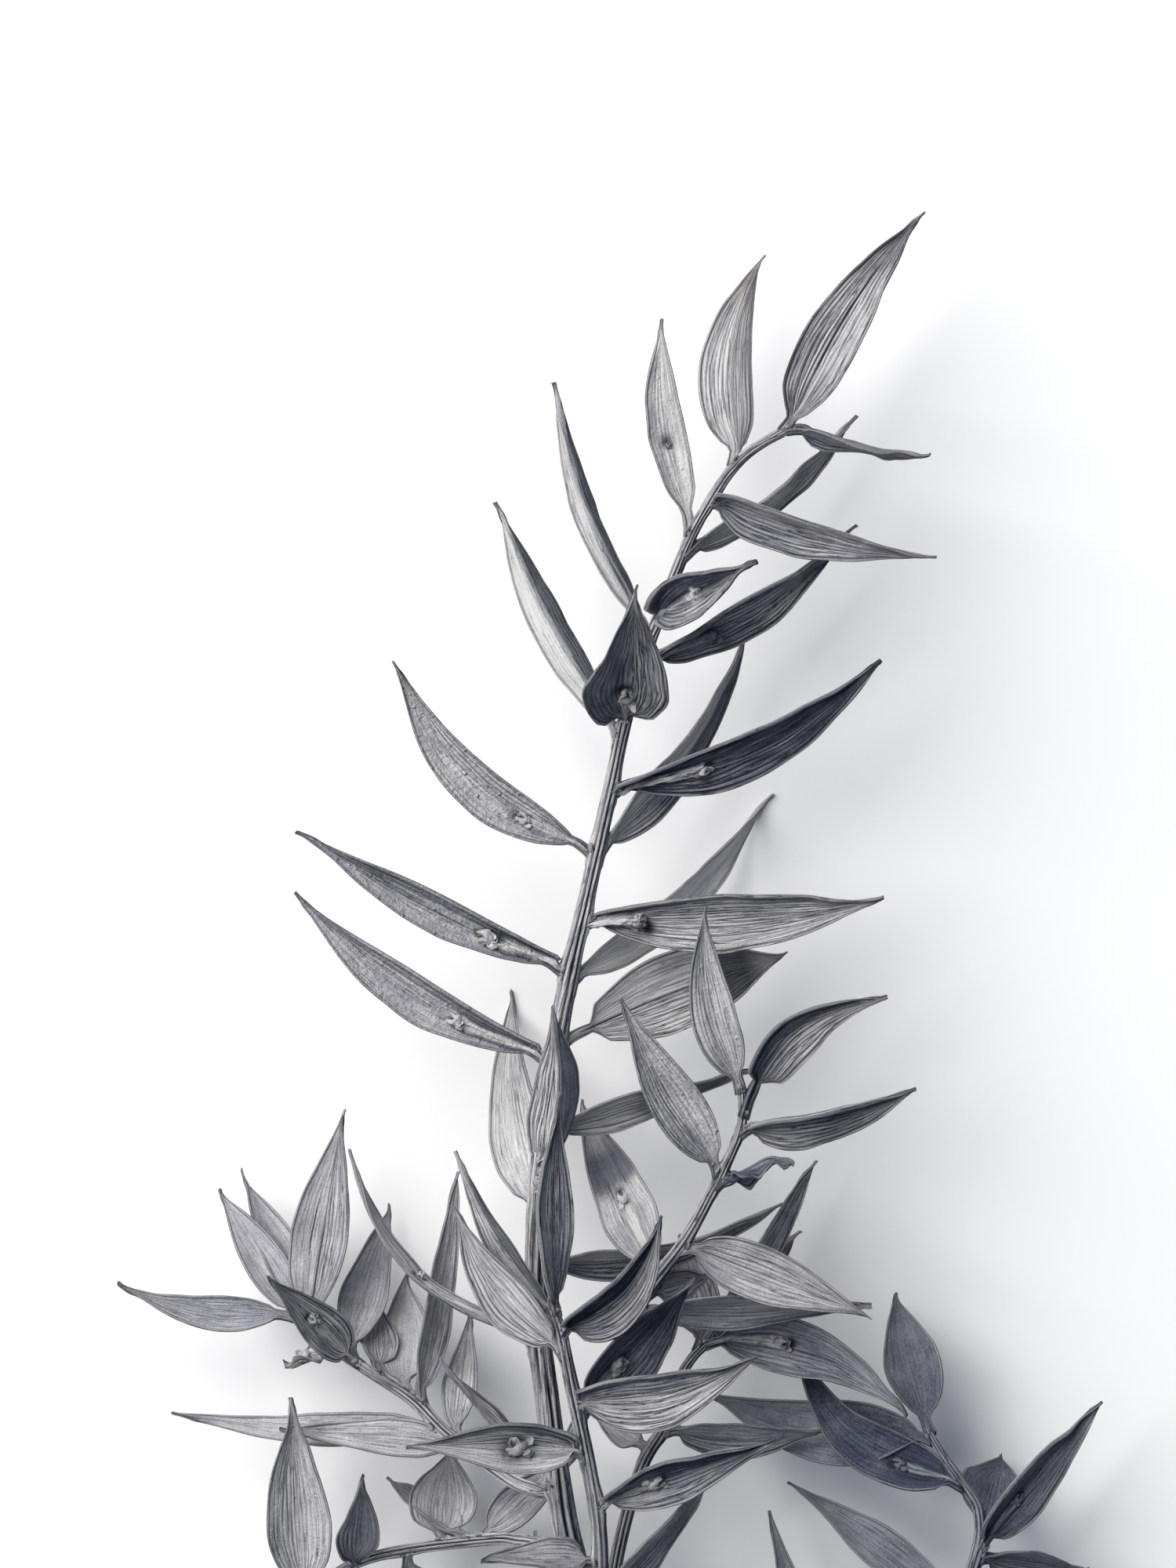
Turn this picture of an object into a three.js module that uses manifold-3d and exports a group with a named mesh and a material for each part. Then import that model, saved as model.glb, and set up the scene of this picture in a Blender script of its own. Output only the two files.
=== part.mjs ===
// Dried butcher's broom branch with spiny leaf-like blades (cladodes), lying on a flat surface.
// Millimetres, +Z up. +Y runs from the cut end of the main stem to its growing tip.
import * as THREE from 'three';
import { mergeVertices } from 'three/addons/utils/BufferGeometryUtils.js';
import Module from 'manifold-3d';

const wasm = await Module();
wasm.setup();

// ---- driving dimensions -------------------------------------------------------------------
const SPINE_THICK = 1.0; // blade thickness along its midrib
const EDGE_THICK = 0.6; // blade thickness at its two margins
const STALK_HALF = 0.55; // half width of the short stalk that a blade grows from
const STALK_SHARE = 0.16; // share of a blade's length over which the stalk fades out
const BELLY = 0.38; // where a blade is widest, as a share of its length
const TAPER = 1.15; // how sharply the outline runs into its two ends
const WAVE = 0.22; // height of the slow wave along the margins
const WAVE_TURNS = 1.6; // waves along one margin
const BLADE_STATIONS = [0, 0.08, 0.2, 0.35, 0.5, 0.66, 0.83];
const GROOVE = 0.8; // depth of the grooves between the stem's ridges, as a share of its radius
const STEM_STEP = 6; // distance between two sections of a stem
const RIDGE_TWIST = 0.012; // turn of the ridges along the stem, radians for each mm
const KNOT = [1.5, 0.95, 0.85]; // dried flower knot: half length, half width, half height
const FLOOR_SIDE = 400; // side and thickness of the slab that trims the resting spots flat
const FLOOR_DEPTH = 20;
const PLAN_CENTRE = [2.1, 4.15]; // middle of the branch in plan, which becomes the origin

const ASH = { color: 0xa9a9ad, roughness: 0.85, metalness: 0 };
const ASH_DARK = { color: 0x8b8c92, roughness: 0.88, metalness: 0 };

// ---- stems: [x, y, z, radius] from the base to the tip ---------------------------------------
const MAIN_STEM = [
  [2.4, -130, 1.9, 2.0], [1.8, -95, 3.6, 1.9], [1.2, -62, 8.0, 1.8], [0.8, -30, 13.4, 1.7],
  [0.0, -8, 16.4, 1.5], [-2.6, 6, 18.0, 1.4], [-4.0, 16, 19.0, 1.3], [-5.3, 27.4, 20.0, 1.2],
  [-4.9, 40.5, 20.5, 1.15], [-3.6, 51, 20.5, 1.1], [-2.0, 60, 20.3, 1.0], [0.0, 69, 20.0, 0.9],
  [2.2, 79, 19.5, 0.8], [4.4, 89, 19.0, 0.75], [7.4, 97.5, 18.6, 0.65], [10.9, 106.1, 18.3, 0.6],
  [15.5, 113, 18.2, 0.55], [21.2, 116.7, 18.4, 0.45],
];
const FRONT_STEM = [
  [1.6, -25.0, 16.9, 1.0], [1.8, -17, 20.5, 0.95], [1.4, -6, 25.5, 0.9], [1.1, 3.7, 28.3, 0.85],
  [0.1, 10.4, 29.7, 0.8], [-1.4, 17.6, 30.8, 0.75], [-2.7, 23.8, 31.4, 0.65], [-3.6, 26.6, 31.5, 0.5],
];
const RIGHT_STEM = [
  [-1.9, 13.0, 19.8, 0.7], [-0.8, 15.2, 20.5, 0.75], [3.0, 21.4, 22.2, 0.75], [5.7, 27.7, 23.2, 0.7],
  [9.8, 33.4, 24.0, 0.65], [12.3, 37.8, 24.4, 0.6], [14.9, 43.2, 24.6, 0.55], [15.7, 46.4, 24.6, 0.5],
  [15.6, 49.6, 24.6, 0.4],
];
const LEFT_STEM = [
  [-4.9, 7.7, 17.0, 0.8], [-8.2, 9.0, 15.6, 0.75], [-14.2, 13.3, 13.8, 0.7], [-18.1, 17.1, 13.0, 0.65],
  [-23.9, 20.9, 12.4, 0.6], [-30.4, 25.9, 12.0, 0.45],
];
const LOWER_LEFT_STEM = [
  [-4.0, 2.2, 16.2, 0.7], [-7.0, 2.6, 13.6, 0.7], [-10.7, 2.6, 11.6, 0.65], [-21.9, 0.8, 8.6, 0.6],
  [-29.4, -3.0, 7.4, 0.45],
];
const BACK_RIGHT_STEM = [
  [1.9, -8.0, 14.2, 0.75], [3.0, 1.0, 12.6, 0.75], [5.4, 9.8, 12.4, 0.7], [8.0, 14.6, 12.8, 0.65],
  [9.8, 20.0, 13.4, 0.55], [12.8, 23.6, 13.8, 0.4],
];
const FAR_RIGHT_STEM = [
  [3.9, -48.2, 9.6, 1.0], [12, -39, 9.8, 1.0], [25, -24, 11.0, 0.95], [35.5, -10, 12.2, 0.85],
  [39.6, 0.5, 13.2, 0.75], [40.0, 5.4, 13.8, 0.65], [38.4, 8.4, 14.2, 0.55],
  [36.4, 11.2, 14.4, 0.45], [34.6, 14.2, 14.0, 0.35],
];

// ---- blades --------------------------------------------------------------------------------
// from, to: plan place of the root and of the spiny tip. rise: tip above the root.
// wide: full width. roll: turn about the midrib, its left margin raised, and twist: more of it
// by the tip. left, right: how far each half is folded up. bow: midrib bent to the left, and
// arch: midrib bent upwards, as shares of the length. knot: where the flower knot sits.
const blade = (from, to, rise, wide, form = {}) => ({ from, to, rise, wide, ...form });

const MAIN_BLADES = [
  blade([20.3, 116.6], [34.2, 138.4], 6, 6.6, { roll: -8, left: 26, right: 22, bow: 0.04 }),
  blade([15.3, 113.2], [17.8, 134.2], -8, 6.2, { roll: -12, left: 18, right: -48, bow: 0.095 }),
  blade([10.3, 105.8], [7.5, 127.6], -4, 4.3, {
    roll: 26, twist: -20, left: 20, right: 18, bow: 0.06, belly: 0.56, knot: 0.41,
  }),
  blade([21.2, 116.4], [34.9, 113.1], 4, 4.0, { roll: 76, left: 8, right: 8, bow: -0.03 }),
  blade([10.0, 103.6], [27.5, 117.8], -8, 4.6, { roll: 60, left: 10, right: 12, bow: -0.06 }),
  blade([13.2, 109.2], [35.5, 103.0], 4, 5.6, { roll: 30, left: 34, right: 22, bow: -0.04 }),
  blade([5.6, 92.6], [27.4, 106.6], -4, 5.6, { roll: 52, left: 10, right: 24, bow: -0.07, knot: 0.28 }),
  blade([7.0, 97.4], [16.9, 102.6], 15, 6.8, { roll: -6, left: 42, right: 40, knot: 0.42 }),
  blade([3.9, 87.0], [4.8, 100.0], 17, 9.0, { left: 16, right: 16, arch: 0.05, belly: 0.3, knot: 0.22 }),
  blade([6.0, 95.4], [-3.4, 121.1], -3, 4.6, { roll: 8, left: -60, right: -60, bow: 0.06, belly: 0.46 }),
  blade([2.6, 85.0], [-9.3, 108.9], -4, 5.4, { roll: 4, left: -42, right: -54, bow: 0.035, belly: 0.46 }),
  blade([0.9, 73.4], [-19.8, 92.6], 2, 5.2, {
    roll: -4, left: 20, right: 16, bow: 0.13, belly: 0.46, knot: 0.27,
  }),
  blade([-1.8, 61.0], [-29.6, 75.4], 2, 4.6, {
    roll: 12, left: 24, right: 24, bow: 0.045, belly: 0.48, knot: 0.3,
  }),
  blade([-3.4, 51.8], [-30.0, 68.9], -2, 5.0, {
    roll: 8, left: 18, right: 20, bow: 0.08, belly: 0.5, knot: 0.34,
  }),
  blade([2.3, 79.8], [29.9, 92.6], 4, 6.6, {
    roll: 48, left: 12, right: 26, bow: -0.08, belly: 0.46, knot: 0.31,
  }),
  blade([1.4, 73.0], [16.2, 95.0], -9, 5.6, { roll: 52, left: 10, right: 18, bow: -0.06 }),
  blade([-0.4, 66.4], [30.2, 68.1], 2, 7.2, {
    roll: 18, left: 22, right: 20, bow: -0.03, belly: 0.45, knot: 0.19,
  }),
  blade([-1.8, 60.4], [18.8, 79.2], -22, 4.6, { roll: 40, left: 8, right: 14, bow: -0.06 }),
  blade([-3.0, 53.4], [20.5, 62.5], -11, 8.8, { roll: -8, left: 22, right: 16, bow: 0.02, belly: 0.5 }),
  blade([-5.2, 36.0], [-7.7, 58.9], -22, 6.0, { roll: -8, left: 14, right: 14, bow: 0.04, belly: 0.3 }),
  blade([-4.3, 44.6], [16.4, 50.6], -9, 4.6, { roll: 50, left: 10, right: 20 }),
  blade([-5.2, 31.4], [19.9, 37.1], -7, 4.6, { roll: 52, left: 12, right: 24, bow: -0.08 }),
  blade([-4.9, 39.6], [-3.7, 57.3], 9, 6.4, { roll: 8, left: -34, right: -48, bow: -0.07, knot: 0.12 }),
  blade([-5.0, 23.6], [-24.4, 42.7], -3, 3.8, { roll: 70, left: 6, right: 6, bow: 0.16, knot: 0.48 }),
  blade([-3.2, 9.0], [-15.2, 21.4], 1, 3.4, { roll: 66, left: 6, right: 6, bow: 0.03 }),
  blade([0.4, -12.0], [-5.6, 3.6], -3.2, 4.6, { roll: 20, left: 22, right: 20 }),
  blade([0.0, -16.0], [-4.4, 1.8], 3, 4.4, { roll: 30, left: 22, right: 20 }),
  blade([0.9, -38.0], [-5.4, -26.0], 1, 3.6, { left: 30, right: 30 }),
  blade([1.2, -60.0], [5.6, -51.0], 3, 2.6, { left: 34, right: 34 }),
  blade([1.4, -74.0], [-2.2, -66.5], 1.5, 2.4, { left: 34, right: 34 }),
  blade([1.8, -92.0], [5.4, -85.0], 1.5, 2.2, { left: 34, right: 34 }),
];
const FRONT_BLADES = [
  blade([-3.6, 26.4], [-2.8, 48.8], 0, 5.0, { roll: 44, twist: -20, left: 20, right: 26, bow: 0.035 }),
  blade([-3.2, 25.4], [-13.5, 42.7], -2, 4.4, { roll: 4, left: -58, right: -58, bow: 0.05 }),
  blade([-2.5, 22.4], [-13.6, 37.1], 0, 5.6, { roll: -14, left: 20, right: 18, bow: 0.08 }),
  blade([-2.8, 24.6], [7.5, 36.2], 8, 7.2, { roll: 18, left: 42, right: 40, bow: -0.12 }),
  blade([-1.4, 17.4], [17.1, 22.0], 8, 7.0, { roll: -8, left: 50, right: -8, bow: -0.08 }),
  blade([-1.2, 16.6], [10.9, 29.9], 1, 7.6, { roll: 40, left: 20, right: 20, knot: 0.35 }),
  blade([-0.1, 12.2], [-18.4, 12.9], 8, 5.8, { roll: 12, left: 12, right: 34, bow: -0.01, knot: 0.4 }),
  blade([0.9, 6.8], [19.9, 13.6], 6, 5.8, { roll: 34, left: 24, right: 34, bow: 0.01, knot: 0.33 }),
  blade([1.2, 0.8], [-10.9, 1.3], 3, 5.2, { roll: 46, left: 20, right: 20 }),
  blade([1.3, -3.0], [12.0, 8.4], -5, 5.2, { roll: 50, left: 20, right: 20 }),
];
const RIGHT_BLADES = [
  blade([15.6, 49.2], [11.8, 67.5], 5, 5.2, { roll: -12, left: 20, right: 16, bow: 0.06 }),
  blade([15.8, 46.6], [30.5, 58.2], 2, 5.8, { roll: 36, twist: -34, left: 26, right: 12, bow: 0.16 }),
  blade([13.4, 40.6], [3.4, 58.1], 1, 6.0, { roll: 10, left: 22, right: 18, bow: 0.04 }),
  blade([15.5, 45.0], [33.4, 48.9], 3, 6.0, { roll: 38, left: 38, right: 24, bow: -0.04 }),
  blade([13.0, 39.6], [21.0, 41.2], 1, 3.2, { roll: 40, twist: 70, left: 40, right: 30, bow: 0.1 }),
  blade([9.6, 33.2], [29.0, 25.6], -1, 6.0, { roll: -6, left: 12, right: 12, bow: 0.0 }),
  blade([7.2, 30.2], [-1.0, 47.6], -11, 6.4, { roll: -14, left: 16, right: 14, knot: 0.43 }),
  blade([5.2, 26.4], [28.9, 26.7], -5, 4.8, { roll: 46, left: 16, right: 20 }),
  blade([5.9, 28.0], [12.4, 29.8], -5, 4.6, { roll: 20, left: 20, right: 20 }),
];
const LEFT_BLADES = [
  blade([-30.2, 25.8], [-48.3, 28.7], -3, 4.0, { roll: 18, left: 20, right: 22, bow: 0.08 }),
  blade([-24.0, 20.9], [-32.7, 29.7], 9, 5.2, { roll: 12, left: 24, right: 22, knot: 0.5 }),
  blade([-28.6, 24.5], [-25.0, 46.7], -2, 7.0, { roll: -8, left: 16, right: 36 }),
  blade([-17.6, 16.6], [-13.3, 40.3], -4, 4.4, { roll: 44, left: 20, right: 20 }),
  blade([-13.6, 12.9], [-12.0, 25.8], -9, 3.8, { roll: -16, left: 18, right: 16 }),
  blade([-18.8, 17.6], [-18.7, 29.7], -9, 5.8, { roll: -6, left: 16, right: 16 }),
  blade([-21.6, 19.5], [-21.7, 27.4], -7, 4.4, { roll: 20, left: 20, right: 20 }),
  blade([-25.6, 22.0], [-31.0, 20.4], -1, 3.0, { roll: 20, twist: 60, left: 30, right: 30, knot: 0.6 }),
  blade([-15.6, 14.6], [-42.7, 15.5], -6, 4.0, { roll: 24, left: 20, right: 20, bow: 0.05 }),
  blade([-12.6, 12.2], [-31.6, 13.9], -1, 4.8, { roll: 26, left: 20, right: 20 }),
  blade([-29.6, 25.3], [-38.0, 38.4], -7, 4.8, { roll: 10, left: 18, right: 18 }),
  blade([-27.4, 23.6], [-35.8, 40.3], -9, 4.8, { roll: 20, left: 18, right: 18 }),
  blade([-24.6, 21.4], [-20.2, 36.8], -9, 5.2, { roll: -10, left: 18, right: 18 }),
];
const LOWER_LEFT_BLADES = [
  blade([-29.0, -2.8], [-30.3, 17.1], 10, 7.2, { roll: -8, left: 26, right: 14 }),
  blade([-24.0, -0.2], [-23.0, 9.4], 12, 4.8, { roll: 14, left: 24, right: 24 }),
  blade([-15.2, 2.0], [-14.2, 11.7], -6, 7.6, { roll: -8, left: 14, right: 14 }),
  blade([-12.4, 2.4], [-20.6, 8.6], -7, 4.0, { roll: 40, left: 22, right: 22 }),
  blade([-11.2, 2.6], [-0.8, 11.6], -1.5, 4.6, { roll: -14, left: 20, right: 20 }),
  blade([-19.0, 1.4], [-12.4, -16.0], -6, 6.0, { roll: 10, left: 20, right: 20 }),
];
const BACK_RIGHT_BLADES = [
  blade([7.8, 14.2], [25.1, 14.2], 0, 4.8, { roll: 40, left: 14, right: 20, bow: -0.06 }),
  blade([6.4, 11.8], [0.4, 15.6], -5, 3.6, { roll: 10, left: 24, right: 24 }),
  blade([12.4, 23.2], [32.7, 15.7], 7, 6.4, { roll: 12, left: 18, right: 22, bow: 0.12, knot: 0.33 }),
  blade([12.6, 23.4], [23.4, 41.5], -4, 4.6, { roll: 42, left: 20, right: 20 }),
  blade([12.8, 23.6], [21.6, 34.2], -8, 4.6, { roll: 42, left: 20, right: 20 }),
  blade([11.8, 22.4], [9.4, 33.6], -8, 5.6, { roll: 10, left: 20, right: 20 }),
];
const FAR_RIGHT_BLADES = [
  blade([34.7, 14.0], [31.4, 27.8], -10, 6.4, { roll: 8, left: 20, right: 20, belly: 0.42 }),
  blade([38.3, 8.6], [20.6, 24.0], -1, 6.0, {
    roll: 14, left: 20, right: 22, bow: 0.17, belly: 0.32, knot: 0.26,
  }),
  blade([35.0, 13.5], [12.0, 17.6], -9, 7.4, { roll: 20, left: 16, right: 16, bow: 0.08 }),
  blade([39.8, 2.0], [52.5, 16.8], 4, 6.2, { roll: 36, left: 26, right: 24, bow: 0.02, knot: 0.33 }),
  blade([39.9, 3.6], [42.6, 11.0], -11, 8.0, { roll: 6, left: 18, right: 18 }),
  blade([39.5, 1.0], [51.4, -0.6], -5, 5.2, { roll: 40, left: 20, right: 20 }),
  blade([37.6, -5.0], [20.6, 8.6], -4, 5.4, { roll: 30, left: 20, right: 20 }),
  blade([25.4, -23.6], [18.6, 5.5], -4, 5.4, { roll: 22, left: 20, right: 20 }),
  blade([32.0, -14.8], [50.0, -14.0], -5, 6.0, { roll: 30, left: 20, right: 20 }),
];

const SHOOTS = [
  { name: 'main_stem', stem: MAIN_STEM, blades: MAIN_BLADES, ridges: 5, finish: ASH_DARK },
  { name: 'front_shoot', stem: FRONT_STEM, blades: FRONT_BLADES, ridges: 4, finish: ASH },
  { name: 'right_shoot', stem: RIGHT_STEM, blades: RIGHT_BLADES, ridges: 4, finish: ASH },
  { name: 'left_shoot', stem: LEFT_STEM, blades: LEFT_BLADES, ridges: 4, finish: ASH },
  { name: 'lower_left_shoot', stem: LOWER_LEFT_STEM, blades: LOWER_LEFT_BLADES, ridges: 4, finish: ASH },
  { name: 'back_right_shoot', stem: BACK_RIGHT_STEM, blades: BACK_RIGHT_BLADES, ridges: 4, finish: ASH },
  { name: 'far_right_shoot', stem: FAR_RIGHT_STEM, blades: FAR_RIGHT_BLADES, ridges: 4, finish: ASH },
];

// ---- geometry helpers ------------------------------------------------------------------------
const UP = new THREE.Vector3(0, 0, 1);
const radians = THREE.MathUtils.degToRad;

// A point a across and b up from a centre, in a section's own axes.
function inSection(centre, side, up, a, b) {
  return centre.clone().addScaledVector(side, a).addScaledVector(up, b);
}

// A closed skin through rings of points. The second half of each ring is split along the other
// diagonal where mirrored is set, so both faces of a thin sheet have the same triangles.
function loft(rings, point = null, mirrored = false) {
  const count = rings[0].length;
  const positions = [];
  const push = (...points) => points.forEach((p) => positions.push(p.x, p.y, p.z));
  for (let j = 0; j + 1 < rings.length; j += 1) {
    for (let i = 0; i < count; i += 1) {
      const k = (i + 1) % count;
      const [a, b, c, d] = [rings[j][i], rings[j][k], rings[j + 1][k], rings[j + 1][i]];
      if (mirrored && i >= count / 2) {
        push(a, b, d, b, c, d);
      } else {
        push(a, b, c, a, c, d);
      }
    }
  }
  const middle = (ring) => ring.reduce((sum, p) => sum.add(p), new THREE.Vector3()).divideScalar(count);
  const last = rings[rings.length - 1];
  const [start, end] = [middle(rings[0]), point ?? middle(last)];
  for (let i = 0; i < count; i += 1) {
    const k = (i + 1) % count;
    push(start, rings[0][k], rings[0][i]);
    push(end, last[i], last[k]);
  }
  const geometry = new THREE.BufferGeometry();
  geometry.setAttribute('position', new THREE.Float32BufferAttribute(positions, 3));
  return geometry;
}

function solidOf(geometry) {
  const plain = geometry.clone();
  plain.deleteAttribute('normal');
  plain.deleteAttribute('uv');
  const merged = mergeVertices(plain, 1e-4);
  const vertProperties = new Float32Array(merged.attributes.position.array);
  const triVerts = new Uint32Array(merged.index.array);
  return new wasm.Manifold(new wasm.Mesh({ numProp: 3, vertProperties, triVerts }));
}

function geometryOf(solid) {
  const mesh = solid.getMesh();
  const geometry = new THREE.BufferGeometry();
  geometry.setAttribute('position', new THREE.BufferAttribute(mesh.vertProperties, 3));
  geometry.setIndex(new THREE.BufferAttribute(mesh.triVerts, 1));
  geometry.computeVertexNormals();
  return geometry;
}

// The largest body of a solid, without any loose scrap.
function largestBody(solid) {
  return solid.decompose().reduce((a, b) => (a.volume() > b.volume() ? a : b));
}

// ---- the parts of a shoot --------------------------------------------------------------------
function axisOf(stem) {
  const points = stem.map(([x, y, z]) => new THREE.Vector3(x, y, z));
  return new THREE.CatmullRomCurve3(points, false, 'catmullrom', 0.5);
}

function radiusAt(stem, t) {
  const place = Math.min(t, 1) * (stem.length - 1);
  const before = Math.min(Math.floor(place), stem.length - 2);
  return THREE.MathUtils.lerp(stem[before][3], stem[before + 1][3], place - before);
}

// A stem's skin: a section of alternating ridges and grooves carried along the axis, with its
// ridges turning slowly.
function stemGeometry(stem, axis, ridges) {
  const length = axis.getLength();
  const steps = Math.max(6, Math.round(length / STEM_STEP));
  const rings = [];
  for (let j = 0; j <= steps; j += 1) {
    const t = axis.getUtoTmapping(j / steps);
    const centre = axis.getPoint(t);
    const along = axis.getTangent(t);
    const side = new THREE.Vector3().crossVectors(UP, along).normalize();
    const up = new THREE.Vector3().crossVectors(along, side);
    const turn = RIDGE_TWIST * length * (j / steps);
    const ring = [];
    for (let i = 0; i < 2 * ridges; i += 1) {
      const angle = (Math.PI * i) / ridges + turn;
      const reach = radiusAt(stem, t) * (i % 2 ? GROOVE : 1);
      ring.push(inSection(centre, side, up, reach * Math.cos(angle), reach * Math.sin(angle)));
    }
    rings.push(ring);
  }
  return loft(rings);
}

// The stem's point that is nearest to a place in plan.
function nearestOnAxis(axis, [x, y]) {
  const distance = (p) => Math.hypot(p.x - x, p.y - y);
  return axis.getPoints(400).reduce((best, p) => (distance(p) < distance(best) ? p : best));
}

// A blade's midrib: a straight line from the root to the tip, bowed sideways and arched by
// half a sine wave, and its axes at each station, rolled about it.
function midrib(axis, { from, to, rise, roll = 0, twist = 0, bow = 0, arch = 0 }) {
  const root = nearestOnAxis(axis, from);
  const tip = new THREE.Vector3(to[0], to[1], root.z + rise);
  const chord = tip.clone().sub(root);
  const length = chord.length();
  const left = new THREE.Vector3().crossVectors(UP, chord).normalize();
  const top = new THREE.Vector3().crossVectors(chord, left).normalize();
  const bend = left.clone().multiplyScalar(bow * length).addScaledVector(top, arch * length);
  return (t) => {
    const centre = root.clone().addScaledVector(chord, t).addScaledVector(bend, Math.sin(Math.PI * t));
    const along = chord.clone().addScaledVector(bend, Math.PI * Math.cos(Math.PI * t)).normalize();
    const flat = new THREE.Vector3().crossVectors(top, along).normalize();
    const turn = radians(roll + twist * t);
    const side = flat.applyAxisAngle(along, turn);
    const up = new THREE.Vector3().crossVectors(along, side);
    return { centre, side, up };
  };
}

// Half the blade's width at a share t of its length.
function halfWidth(t, wide, belly = BELLY) {
  const swell = Math.sin(Math.PI * t ** (Math.log(0.5) / Math.log(belly))) ** TAPER;
  const stalk = STALK_HALF * Math.max(0, 1 - t / STALK_SHARE);
  return Math.max(0.5 * wide * swell, stalk);
}

// A blade is a thin folded sheet: two margins and a midrib, each with an upper and a lower point.
function bladeGeometry(axis, form, index) {
  const { wide, left = 0, right = 0, belly } = form;
  const frameAt = midrib(axis, form);
  const [foldLeft, foldRight] = [radians(left), radians(right)];
  const spine = (0.5 * SPINE_THICK) / Math.cos(0.5 * (foldLeft + foldRight));
  const edge = 0.5 * EDGE_THICK;
  const rings = BLADE_STATIONS.map((t) => {
    const { centre, side, up } = frameAt(t);
    const half = halfWidth(t, wide, belly);
    const wave = WAVE * Math.sin(2 * Math.PI * WAVE_TURNS * t + index) * Math.min(1, 4 * t);
    const margin = (fold, hand, face) => inSection(
      centre, side, up,
      hand * (half * Math.cos(fold) - face * edge * Math.sin(fold)),
      half * Math.sin(fold) + hand * wave + face * edge * Math.cos(fold),
    );
    const rib = (face) => inSection(centre, side, up, 0, face * spine);
    return [
      margin(foldLeft, 1, 1), rib(1), margin(foldRight, -1, 1),
      margin(foldRight, -1, -1), rib(-1), margin(foldLeft, 1, -1),
    ];
  });
  return loft(rings, frameAt(1).centre, true);
}

// The dried flower knot on a blade's upper face: a faceted pebble sunk into the midrib.
function knotGeometry(axis, form) {
  const { centre, side, up } = midrib(axis, form)(form.knot);
  const along = new THREE.Vector3().crossVectors(side, up);
  const place = new THREE.Matrix4().makeBasis(along, side, up);
  place.setPosition(centre.addScaledVector(up, 0.5 * SPINE_THICK));
  const [long, across, high] = KNOT;
  return new THREE.IcosahedronGeometry(1, 0).scale(long, across, high).applyMatrix4(place);
}

// Everything below the surface that the branch lies on.
function underFloor() {
  const slab = new THREE.BoxGeometry(FLOOR_SIDE, FLOOR_SIDE, FLOOR_DEPTH);
  return solidOf(slab.translate(0, 0, -0.5 * FLOOR_DEPTH));
}

function shootMesh({ name, stem, blades, ridges, finish }) {
  const axis = axisOf(stem);
  const pieces = [solidOf(stemGeometry(stem, axis, ridges))];
  blades.forEach((form, index) => {
    pieces.push(solidOf(bladeGeometry(axis, form, index)));
    if (form.knot) {
      pieces.push(solidOf(knotGeometry(axis, form)));
    }
  });
  const joined = pieces.reduce((whole, piece) => whole.add(piece));
  const body = largestBody(joined.subtract(underFloor()));
  const mesh = new THREE.Mesh(geometryOf(body), new THREE.MeshStandardMaterial(finish));
  mesh.name = name;
  return mesh;
}

const group = new THREE.Group();
SHOOTS.forEach((shoot) => group.add(shootMesh(shoot)));
group.position.set(-PLAN_CENTRE[0], -PLAN_CENTRE[1], 0);
export default group;
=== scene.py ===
"""Dried butcher's broom branch: fine blades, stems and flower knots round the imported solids.

Every stem and blade stands where its solid does. Its place is worked out from the same lists and
formulas as in the part's source, in millimetres, and put into the mesh in metres.
"""

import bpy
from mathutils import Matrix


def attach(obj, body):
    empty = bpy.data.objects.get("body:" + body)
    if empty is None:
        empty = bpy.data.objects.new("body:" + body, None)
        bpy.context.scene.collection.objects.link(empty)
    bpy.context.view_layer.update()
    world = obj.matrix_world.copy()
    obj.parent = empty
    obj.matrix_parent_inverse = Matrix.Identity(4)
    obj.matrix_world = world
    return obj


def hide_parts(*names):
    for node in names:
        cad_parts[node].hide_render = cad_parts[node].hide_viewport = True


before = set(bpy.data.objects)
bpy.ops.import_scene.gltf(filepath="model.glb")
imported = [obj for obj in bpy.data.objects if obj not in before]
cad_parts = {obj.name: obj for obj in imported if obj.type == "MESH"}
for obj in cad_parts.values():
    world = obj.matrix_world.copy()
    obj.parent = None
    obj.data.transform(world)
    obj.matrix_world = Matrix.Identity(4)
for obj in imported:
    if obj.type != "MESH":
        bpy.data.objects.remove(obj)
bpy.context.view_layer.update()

import itertools
import math
from functools import partial
from types import SimpleNamespace

import bpy
import numpy as np
from bpy.props import FloatProperty, FloatVectorProperty, IntProperty, PointerProperty
from mathutils import Vector

bl_info = {
    "name": "Dried butcher's broom branch",
    "version": (1, 0, 0),
    "blender": (4, 5, 0),
    "location": "3D View > Sidebar > Branch",
    "description": "Fine blades, stems, flower knots and a plain stage for a dried branch",
    "category": "Add Mesh",
}

MM = 0.001
BODY = "root"
FLOOR_TOUCH = 0.02  # height of the lowest points above the floor, in mm

# ---- places and sizes shared with the solids, in mm ----
PLAN_CENTRE = (2.1, 4.15)  # middle of the branch in plan, which is the origin
TAPER = 1.15  # how sharply the outline runs into its two ends
WAVE = 0.22  # height of the slow wave along the margins
WAVE_TURNS = 1.6  # waves along one margin
RIDGE_TWIST = 0.012  # turn of the ridges along the stem, radians for each mm
AXIS_SAMPLES = 400  # places on a stem's axis that a blade's root may take
USUAL = {
    "roll": 0, "twist": 0, "folds": 0, "bow": 0, "arch": 0, "belly": 0.38, "knot": None, "neck": 0.9,
    "heel": 0.8, "lobes": None, "crumple": 1, "rolled": 0, "tone": 0.0, "ribs": 0.5, "root": 0.25,
    "dim": None, "crack": 0.15, "edge": None, "dusty": 0.0, "pimples": 0.15, "warm": 0, "flower": 1,
    "bud": None, "strap": 0.4, "hollow": None,
}  # a blade's form where its row says nothing


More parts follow.
